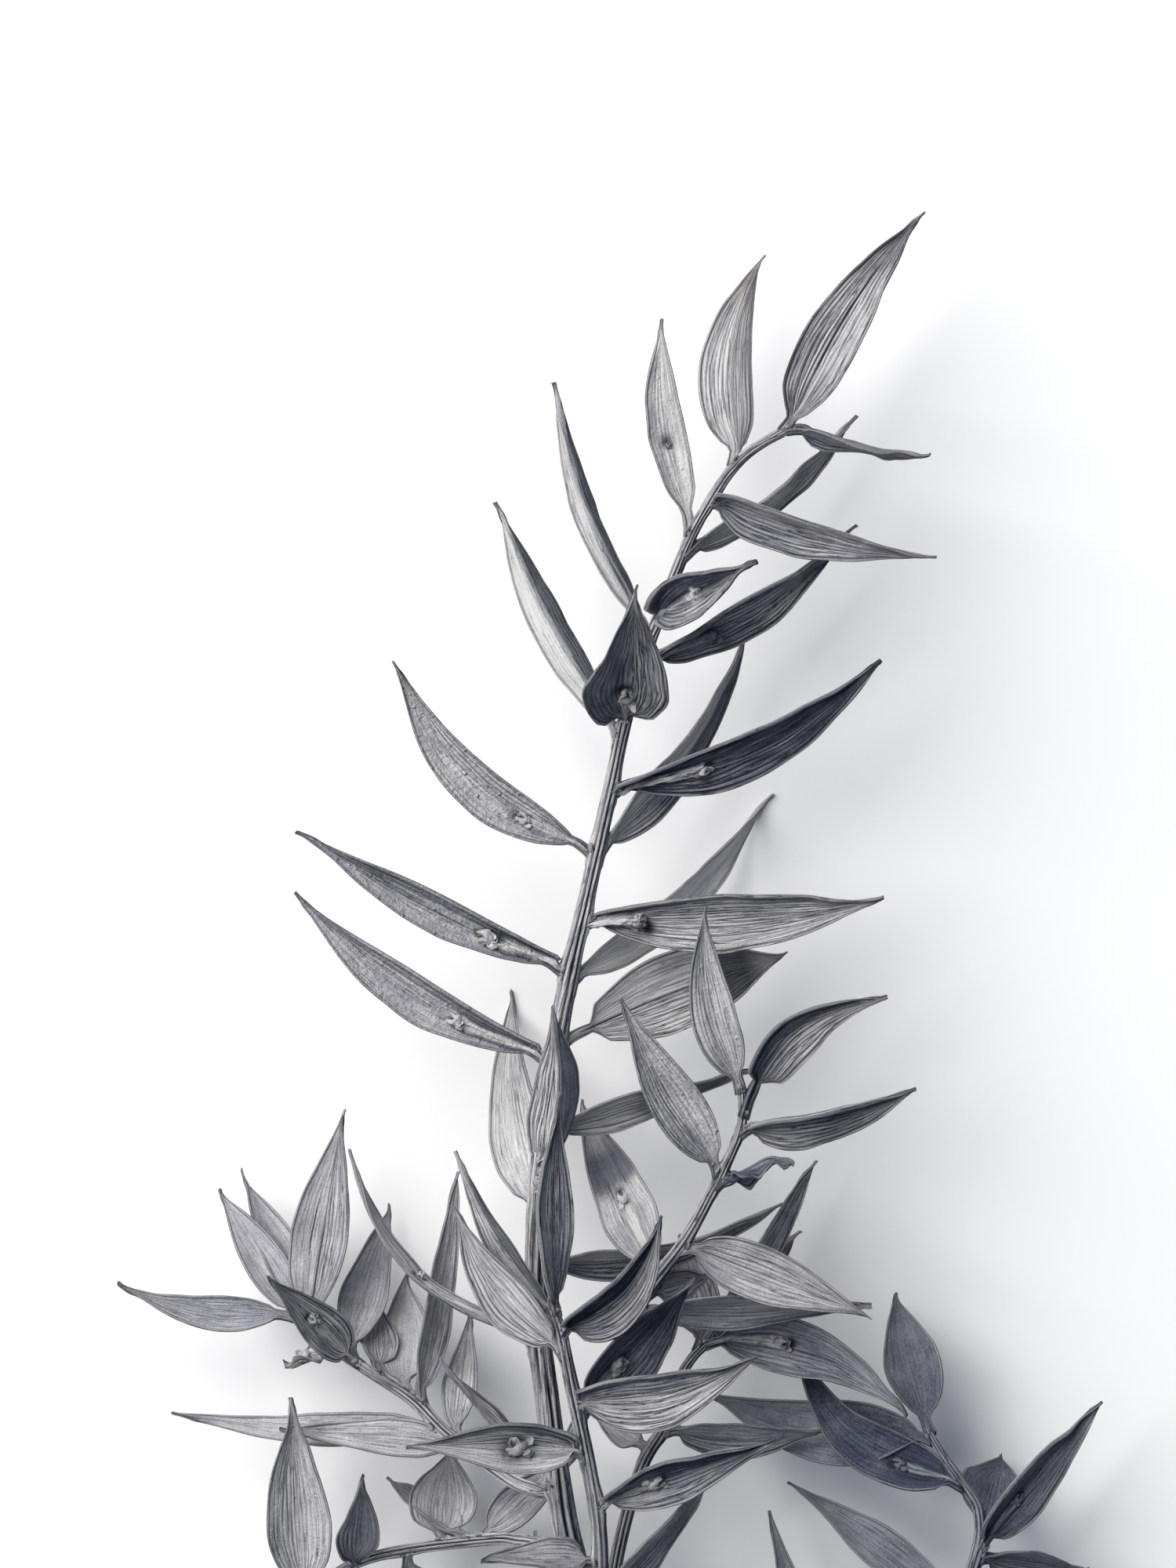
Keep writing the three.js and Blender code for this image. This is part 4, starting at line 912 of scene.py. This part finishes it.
def scrap_skin(base, along, side, up, size, heading, number, seed, tone):
    """A curled scrap of bract that leaves a flower at a heading, narrow at both ends."""
    reach = size * (0.55 + 0.4 * noise(number, seed))
    s = np.linspace(0, 1, SCRAP_GRID[0])[:, None]
    v = round_turn(SCRAP_GRID[1])
    outward = unit(along * np.cos(heading) + side * np.sin(heading) * 0.8)
    path = base - 0.2 * up + outward * (0.35 + 0.75 * s) * reach
    path = path + up * (0.55 + 0.45 * noise(seed, number + 9.0)) * s**2 * reach
    width = 0.27 * size * np.sin(np.pi * (0.12 + 0.84 * s)) ** 0.7
    width = width * (1 + 0.3 * noise(6 * s, seed + number))
    tall = 0.045 * np.sin(v) + (0.8 * width + 0.1) * np.cos(v) ** 2
    tall = tall + 0.08 * noise(4 * s, np.cos(v), seed)
    rings = tube(path, np.cross(up, outward), up, width * np.cos(v), tall)
    # painted shade towards the scrap's base
    return skin(rings, 3 * rings, crease=0.75 * (1 - s), bloom=0.6, tone=tone)


def knot_skins(stem, form, seed, looks):
    """A dried flower on a blade's upper face: crumpled pebbles, the first with a dark hollow towards
    the blade's tip, and curled scraps of bract round them."""
    spot = np.array([form.knot])
    centre, along, side, up = (values[0] for values in midrib(stem, form, spot, seed))
    size = looks.flower / MM * form.flower * (1 + 0.12 * noise(seed, 1.7))
    base = centre + up * (0.3 + 0.25 * form.strap)
    hand = 1 if noise(seed, 6.6) > 0 else -1
    mean = 0.5 * sum(for_half(form.tone, half) for half in (1, -1))
    tone = mean if form.bud is None else form.bud
    skins = []
    for number, (x, y, big) in enumerate(PEBBLES):
        skins.append(pebble(base + size * (x * along + y * hand * side), np.array([along, side, up]),
                            size * big * np.array([1.15, 0.8, 0.7]), seed + 3.7 * number,
                            pit=1 - number, bloom=0.5, tone=tone))
    for number in range(SCRAPS):
        heading = 2 * np.pi * (number + 0.9 * noise(seed, number)) / SCRAPS
        skins.append(scrap_skin(base, along, side, up, size, heading, number, seed, tone))
    return skins


# ---- materials ----
def add_node(tree, kind, inputs=None, **settings):
    """Adds a node, sets its settings, and sets or links its inputs."""
    node = tree.nodes.new(kind)
    for name, value in settings.items():
        setattr(node, name, value)
    for name, value in (inputs or {}).items():
        if isinstance(value, bpy.types.NodeSocket):
            tree.links.new(value, node.inputs[name])
        else:
            node.inputs[name].default_value = value
    return node


def maths(tree, operation, first, second=0.0, third=0.0, clamp=False):
    """The output of a Math node."""
    return add_node(tree, "ShaderNodeMath", {0: first, 1: second, 2: third}, operation=operation,
                    use_clamp=clamp).outputs[0]


def new_group(name, inputs, outputs):
    """An empty shader node group with float sockets, or vector ones where the default is None."""
    tree = bpy.data.node_groups.new(name, "ShaderNodeTree")
    for label, default in inputs.items():
        kind = "NodeSocketVector" if default is None else "NodeSocketFloat"
        socket = tree.interface.new_socket(label, in_out="INPUT", socket_type=kind)
        if default is not None:
            socket.default_value = default
    for label in outputs:
        tree.interface.new_socket(label, in_out="OUTPUT", socket_type="NodeSocketFloat")
    return tree, tree.nodes.new("NodeGroupInput").outputs, tree.nodes.new("NodeGroupOutput").inputs


def fibre_group():
    """Thin lines along the grain, where a stretched noise crosses its middle value, and the height
    of the fibres between them."""
    tree, given, out = new_group(
        "fibre_lines", {"Grain": None, "Across": 2.2, "Along": 0.1, "Line width": 0.02},
        ("Line", "Height"))
    calc = partial(maths, tree)
    scale = add_node(tree, "ShaderNodeCombineXYZ", {0: given["Across"], 1: given["Along"], 2: 1.0})
    place = add_node(tree, "ShaderNodeVectorMath", {0: given["Grain"], 1: scale.outputs[0]},
                     operation="MULTIPLY")
    fac = add_node(tree, "ShaderNodeTexNoise", {
        "Vector": place.outputs[0], "Scale": 1.0, "Detail": 3.0, "Roughness": 0.55,
        "Distortion": 0.3}).outputs["Fac"]
    distance = calc("ABSOLUTE", calc("SUBTRACT", fac, 0.5))
    line = calc("SUBTRACT", 1.0, calc("DIVIDE", distance, given["Line width"]), clamp=True)
    tree.links.new(line, out["Line"])
    tree.links.new(calc("SUBTRACT", fac, calc("MULTIPLY", line, 0.3)), out["Height"])
    return tree


def skin_group():
    """A dried skin: broad mottling of the dye, fine grit, scattered pimples, small pale specks of
    dust, and the shallow dents of a leathery hide. Its sizes are in metres."""
    tree, given, out = new_group(
        "dried_skin", {"Place": None, "Patch": 0.004, "Grit": 0.00022, "Pimple": 0.0011, "Hide": 0.0006},
        ("Mottle", "Grit", "Pimple", "Speck", "Hide"))
    calc = partial(maths, tree)

    def patches(size, detail, rough):
        return add_node(tree, "ShaderNodeTexNoise", {
            "Vector": given["Place"], "Scale": calc("DIVIDE", 1.0, size), "Detail": detail,
            "Roughness": rough}).outputs["Fac"]

    for mark, size, detail, rough in (("Mottle", "Patch", 5.0, 0.6), ("Grit", "Grit", 4.0, 0.65),
                                      ("Hide", "Hide", 2.0, 0.55)):
        tree.links.new(patches(given[size], detail, rough), out[mark])
    cells = add_node(tree, "ShaderNodeTexVoronoi", {
        "Vector": given["Place"], "Scale": calc("DIVIDE", 1.0, given["Pimple"]), "Randomness": 1.0})
    bump = calc("SUBTRACT", 1.0, calc("MULTIPLY", cells.outputs["Distance"], 4.5), clamp=True)
    draw = add_node(tree, "ShaderNodeSeparateColor", {0: cells.outputs["Color"]}).outputs[0]
    chosen = calc("GREATER_THAN", draw, 0.62)
    tree.links.new(calc("MULTIPLY", calc("SMOOTH_MIN", bump, 0.7, 0.4), chosen), out["Pimple"])
    speck = calc("MULTIPLY", calc("SUBTRACT", patches(0.0004, 2.0, 0.5), 0.7), 9.0, clamp=True)
    tree.links.new(speck, out["Speck"])
    return tree


def ash_colour(tree, finish, value, tan, dark):
    """A ramp from the crease colour through slate and ash to pale, warmed by tan, and drawn back to
    the crease colour by dark, which holds the fibre lines and the painted shade."""
    ramp = add_node(tree, "ShaderNodeValToRGB", {0: value})
    elements = ramp.color_ramp.elements
    elements.remove(elements[1])
    for name, position in RAMP.items():
        element = elements.new(position) if position else elements[0]
        element.color = (*getattr(finish, name), 1.0)
    colour = ramp.outputs[0]
    for amount, other in ((tan, finish.tan), (dark, finish.crease)):
        colour = add_node(tree, "ShaderNodeMix", {0: amount, 6: colour, 7: (*other, 1.0)},
                          data_type="RGBA").outputs[2]
    return colour


def ash_material(name, groups, finish, depth):
    """Matt, dyed, dried plant. One value says how pale a place is, and a ramp turns it into a
    colour. Mottling, grit, fibres, the painted highlights on rims and rib crowns, and pale parts
    raise or lower the value, and the painted shade in creases and hollows and the fibre lines
    darken the colour most. depth is the value where nothing else changes it."""
    material = bpy.data.materials.new(name)
    material.use_nodes = True
    tree = material.node_tree
    calc = partial(maths, tree)
    shader = tree.nodes["Principled BSDF"]
    marks = {m: add_node(tree, "ShaderNodeAttribute", attribute_name=m).outputs["Fac"] for m in MARKS}
    grain = add_node(tree, "ShaderNodeAttribute", attribute_name="grain").outputs["Vector"]
    place = add_node(tree, "ShaderNodeTexCoord").outputs["Object"]
    fibres = add_node(tree, "ShaderNodeGroup", node_tree=groups[0])
    for socket, value in (("Across", FIBRES_ACROSS), ("Line width", FIBRE_LINE)):
        fibres.inputs[socket].default_value = value
    tree.links.new(grain, fibres.inputs["Grain"])
    dried = add_node(tree, "ShaderNodeGroup", node_tree=groups[1])
    tree.links.new(place, dried.inputs["Place"])
    skins = dried.outputs
    ribbed = calc("MULTIPLY_ADD", marks["ribbed"], 0.9, 0.22)
    pimple = calc("MULTIPLY", skins["Pimple"], marks["pimpled"])
    hide = calc("MULTIPLY", calc("SUBTRACT", skins["Hide"], 0.5), marks["pimpled"])
    value = calc("MULTIPLY_ADD", marks["tone"], 0.4, depth)
    terms = ((skins["Mottle"], 0.5, 0.4), (skins["Grit"], 0.5, 0.42), (marks["bloom"], 0.1, 0.26),
             (pimple, 0.0, 0.2), (skins["Speck"], 0.0, 0.25), (hide, 0.0, 0.22))
    for source, middle, weight in terms:  # each counts from its middle value
        value = calc("MULTIPLY_ADD", source, weight, calc("ADD", value, -middle * weight))
    fine = calc("MULTIPLY", ribbed, calc("SUBTRACT", fibres.outputs["Height"], 0.5))
    value = calc("MULTIPLY_ADD", fine, 0.4, value)
    # painted highlight: the rims are drawn towards a pale value
    pale = calc("SUBTRACT", calc("MULTIPLY_ADD", skins["Grit"], 0.5, 0.47), value)
    value = calc("MULTIPLY_ADD", calc("MULTIPLY", marks["rim_highlight"], 0.75, clamp=True), pale, value)
    # the fibre lines, and the painted shade in creases, hollows and grooves
    dark = calc("MULTIPLY", calc("MULTIPLY", fibres.outputs["Line"], ribbed), 0.95)
    dark = calc("MAXIMUM", dark, calc("MULTIPLY", marks["crease"], 0.96))
    tan = calc("MULTIPLY", marks["tan"], skins["Mottle"])
    tree.links.new(ash_colour(tree, finish, value, tan, dark), shader.inputs["Base Color"])
    rough = add_node(tree, "ShaderNodeMapRange", {
        "Value": skins["Grit"], "From Min": 0.3, "From Max": 0.7, "To Min": 0.62, "To Max": 0.92})
    tree.links.new(rough.outputs["Result"], shader.inputs["Roughness"])
    leather = calc("MULTIPLY_ADD", marks["pimpled"], 0.6, 0.7)
    height = calc("MULTIPLY_ADD", skins["Grit"], leather, calc("MULTIPLY", fine, 2.4))
    for source, weight in ((pimple, 2.6), (hide, 2.4)):
        height = calc("MULTIPLY_ADD", source, weight, height)
    bump = add_node(tree, "ShaderNodeBump", {"Strength": 1.0, "Distance": RELIEF, "Height": height})
    tree.links.new(bump.outputs["Normal"], shader.inputs["Normal"])
    shader.inputs["Specular IOR Level"].default_value = 0.3
    return material


# ---- operators ----
def numbered(blades):
    """Blades with their place in their list, which the wave along the margins starts from."""
    return [SimpleNamespace(**vars(form), index=index) for index, form in enumerate(blades)]


def blade_skins(stem, blades, first_seed, scene):
    """The skins of blades, of the scales under them and of the dried flowers on them."""
    skins = []
    for form in blades:
        seed = first_seed + BLADE_SEED * form.index
        skins.append(blade_skin(stem, form, seed, scene.branch_blades))
        skins.append(scale_skin(stem, form, seed, scene.branch_stems))
        skins.append(pad_skin(stem, form, seed))
        if form.knot:
            skins += knot_skins(stem, form, seed, scene.branch_stems)
    return skins


class BRANCH_OT_finishes(bpy.types.Operator):
    """Make the materials of the blades and the stems"""

    bl_idname = "branch.finishes"
    bl_label = "Finishes"

    def execute(self, context):
        finish = context.scene.branch_finish
        groups = fibre_group(), skin_group()
        for name, depth in ASH_DEPTHS.items():
            ash_material(name, groups, finish, depth)
        return {"FINISHED"}


class BRANCH_OT_main_stem(bpy.types.Operator):
    """Add the ridged main stem"""

    bl_idname = "branch.main_stem"
    bl_label = "Main stem"

    def execute(self, context):
        looks = context.scene.branch_stems
        stalk = stem_skin(MAIN_STEM, MAIN_BLADES, looks.ridges, looks, STEM_STEPS[0], MAIN_SEED,
                          MAIN_TONES)
        make_piece("main_stem_wood", [stalk], bpy.data.materials["ash_wood"], "main_stem")
        return {"FINISHED"}


class BRANCH_OT_main_blades(bpy.types.Operator):
    """Add the main stem's blades, in an upper and a lower piece"""

    bl_idname = "branch.main_blades"
    bl_label = "Main blades"

    def execute(self, context):
        blades = numbered(MAIN_BLADES)
        for name, some in (("main_blades_upper", blades[:UPPER_MAIN_BLADES]),
                           ("main_blades_lower", blades[UPPER_MAIN_BLADES:])):
            skins = blade_skins(MAIN_STEM, some, MAIN_BLADES_SEED, context.scene)
            make_piece(name, skins, bpy.data.materials["ash_blade"], "main_stem")
        return {"FINISHED"}


class BRANCH_OT_side_shoots(bpy.types.Operator):
    """Add the leafy side shoots, each in one piece"""

    bl_idname = "branch.side_shoots"
    bl_label = "Side shoots"

    def execute(self, context):
        looks = context.scene.branch_stems
        for number, (node, (stem, blades, sunk, tones)) in enumerate(SIDE_SHOOTS.items()):
            seed = SHOOT_SEED * (number + 1)
            skins = [stem_skin(stem, blades, looks.side_ridges, looks, STEM_STEPS[1], seed, tones,
                               sunk)]
            skins += blade_skins(stem, numbered(blades), seed, context.scene)
            make_piece(node + "_fine", skins, bpy.data.materials["ash_blade"], node)
        return {"FINISHED"}


class BRANCH_OT_stage(bpy.types.Operator):
    """Add the floor, the lights and the camera"""

    bl_idname = "branch.stage"
    bl_label = "Stage"

    def execute(self, context):
        looks = context.scene.branch_stage
        make_floor(looks)
        make_lights(context.scene, looks)
        make_camera(context.scene, looks)
        return {"FINISHED"}


# ---- stage, in metres unless a comment says mm ----
VIEW_MIDDLE = (0.0, 80.0)  # what the camera looks at, in the drawing's plan, in mm
VIEW_LEVEL = 20.0  # height of the leafy part above the floor, in mm
VIEW_SPAN = 160.0  # length that the view's long side takes in at that height, in mm
CLIP = (0.05, 50.0)  # nearest and farthest that the camera sees
KEY_FROM = (-0.55, 0.42, 0.72)  # where the key light stands, seen from the branch
KEY_DISTANCE = 1.7
KEY_COLOUR = (1.0, 0.985, 0.965)
FILL_COLOUR = (0.5, 0.68, 1.0, 1.0)
FLOOR_HALF = 3.0


def stage_point():
    """The middle of the camera's view, in metres."""
    return Vector(((VIEW_MIDDLE[0] - PLAN_CENTRE[0]) * MM, (VIEW_MIDDLE[1] - PLAN_CENTRE[1]) * MM,
                   VIEW_LEVEL * MM))


def make_floor(looks):
    """A plain pale square under the branch."""
    corners = [(x * FLOOR_HALF, y * FLOOR_HALF, 0) for x, y in ((-1, -1), (1, -1), (1, 1), (-1, 1))]
    mesh = bpy.data.meshes.new("floor")
    mesh.from_pydata(corners, [], [(0, 1, 2, 3)])
    material = bpy.data.materials.new("pale_floor")
    material.use_nodes = True
    shader = material.node_tree.nodes["Principled BSDF"]
    shader.inputs["Base Color"].default_value = (*looks.floor, 1.0)
    shader.inputs["Roughness"].default_value = 0.9
    mesh.materials.append(material)
    floor = bpy.data.objects.new("floor", mesh)
    bpy.context.scene.collection.objects.link(floor)


def make_lights(scene, looks):
    """A square key light from the upper left of the view, and an even, faintly blue fill."""
    way = Vector(KEY_FROM).normalized()
    light = bpy.data.lights.new("key_light", "AREA")
    light.shape = "SQUARE"
    light.size = looks.key_side
    light.energy = looks.key_power
    light.color = KEY_COLOUR
    lamp = bpy.data.objects.new("key_light", light)
    lamp.location = stage_point() + KEY_DISTANCE * way
    lamp.rotation_euler = way.to_track_quat("Z", "Y").to_euler()
    lamp.visible_camera = False
    scene.collection.objects.link(lamp)
    world = bpy.data.worlds.new("studio")
    world.use_nodes = True
    background = world.node_tree.nodes["Background"]
    background.inputs["Color"].default_value = FILL_COLOUR
    background.inputs["Strength"].default_value = looks.fill
    scene.world = world
    scene.view_settings.view_transform = "Standard"


def make_camera(scene, looks):
    """A camera that looks straight down on the leafy part, with its growing tip at the top."""
    data = bpy.data.cameras.new("camera")
    data.lens = data.sensor_width * looks.distance / (VIEW_SPAN * MM)
    data.clip_start, data.clip_end = CLIP
    camera = bpy.data.objects.new("camera", data)
    camera.location = stage_point() + Vector((0, 0, looks.distance))
    scene.collection.objects.link(camera)
    scene.camera = camera


class BRANCH_PT_panel(bpy.types.Panel):
    """Lists the branch's pieces and the stage"""

    bl_label = "Dried branch"
    bl_idname = "BRANCH_PT_panel"
    bl_space_type = "VIEW_3D"
    bl_region_type = "UI"
    bl_category = "Branch"

    def draw(self, context):
        for operator in OPERATORS:
            self.layout.operator(operator.bl_idname)
        for looks in GROUPS:
            group = getattr(context.scene, looks)
            for name in group.bl_rna.properties.keys():
                if name not in ("rna_type", "name"):
                    self.layout.prop(group, name)


GROUPS = {"branch_blades": BladeLooks, "branch_stems": StemLooks, "branch_finish": Finish,
          "branch_stage": StageLooks}
OPERATORS = (BRANCH_OT_finishes, BRANCH_OT_main_stem, BRANCH_OT_main_blades, BRANCH_OT_side_shoots,
             BRANCH_OT_stage)


def register():
    for cls in (*GROUPS.values(), *OPERATORS, BRANCH_PT_panel):
        bpy.utils.register_class(cls)
    for name, group in GROUPS.items():
        setattr(bpy.types.Scene, name, PointerProperty(type=group))


def unregister():
    for name in GROUPS:
        delattr(bpy.types.Scene, name)
    for cls in (BRANCH_PT_panel, *reversed(OPERATORS), *reversed(GROUPS.values())):
        bpy.utils.unregister_class(cls)


def main():
    register()
    for operator in OPERATORS:
        group, name = operator.bl_idname.split(".")
        getattr(getattr(bpy.ops, group), name)()


if __name__ == "__main__":
    main()
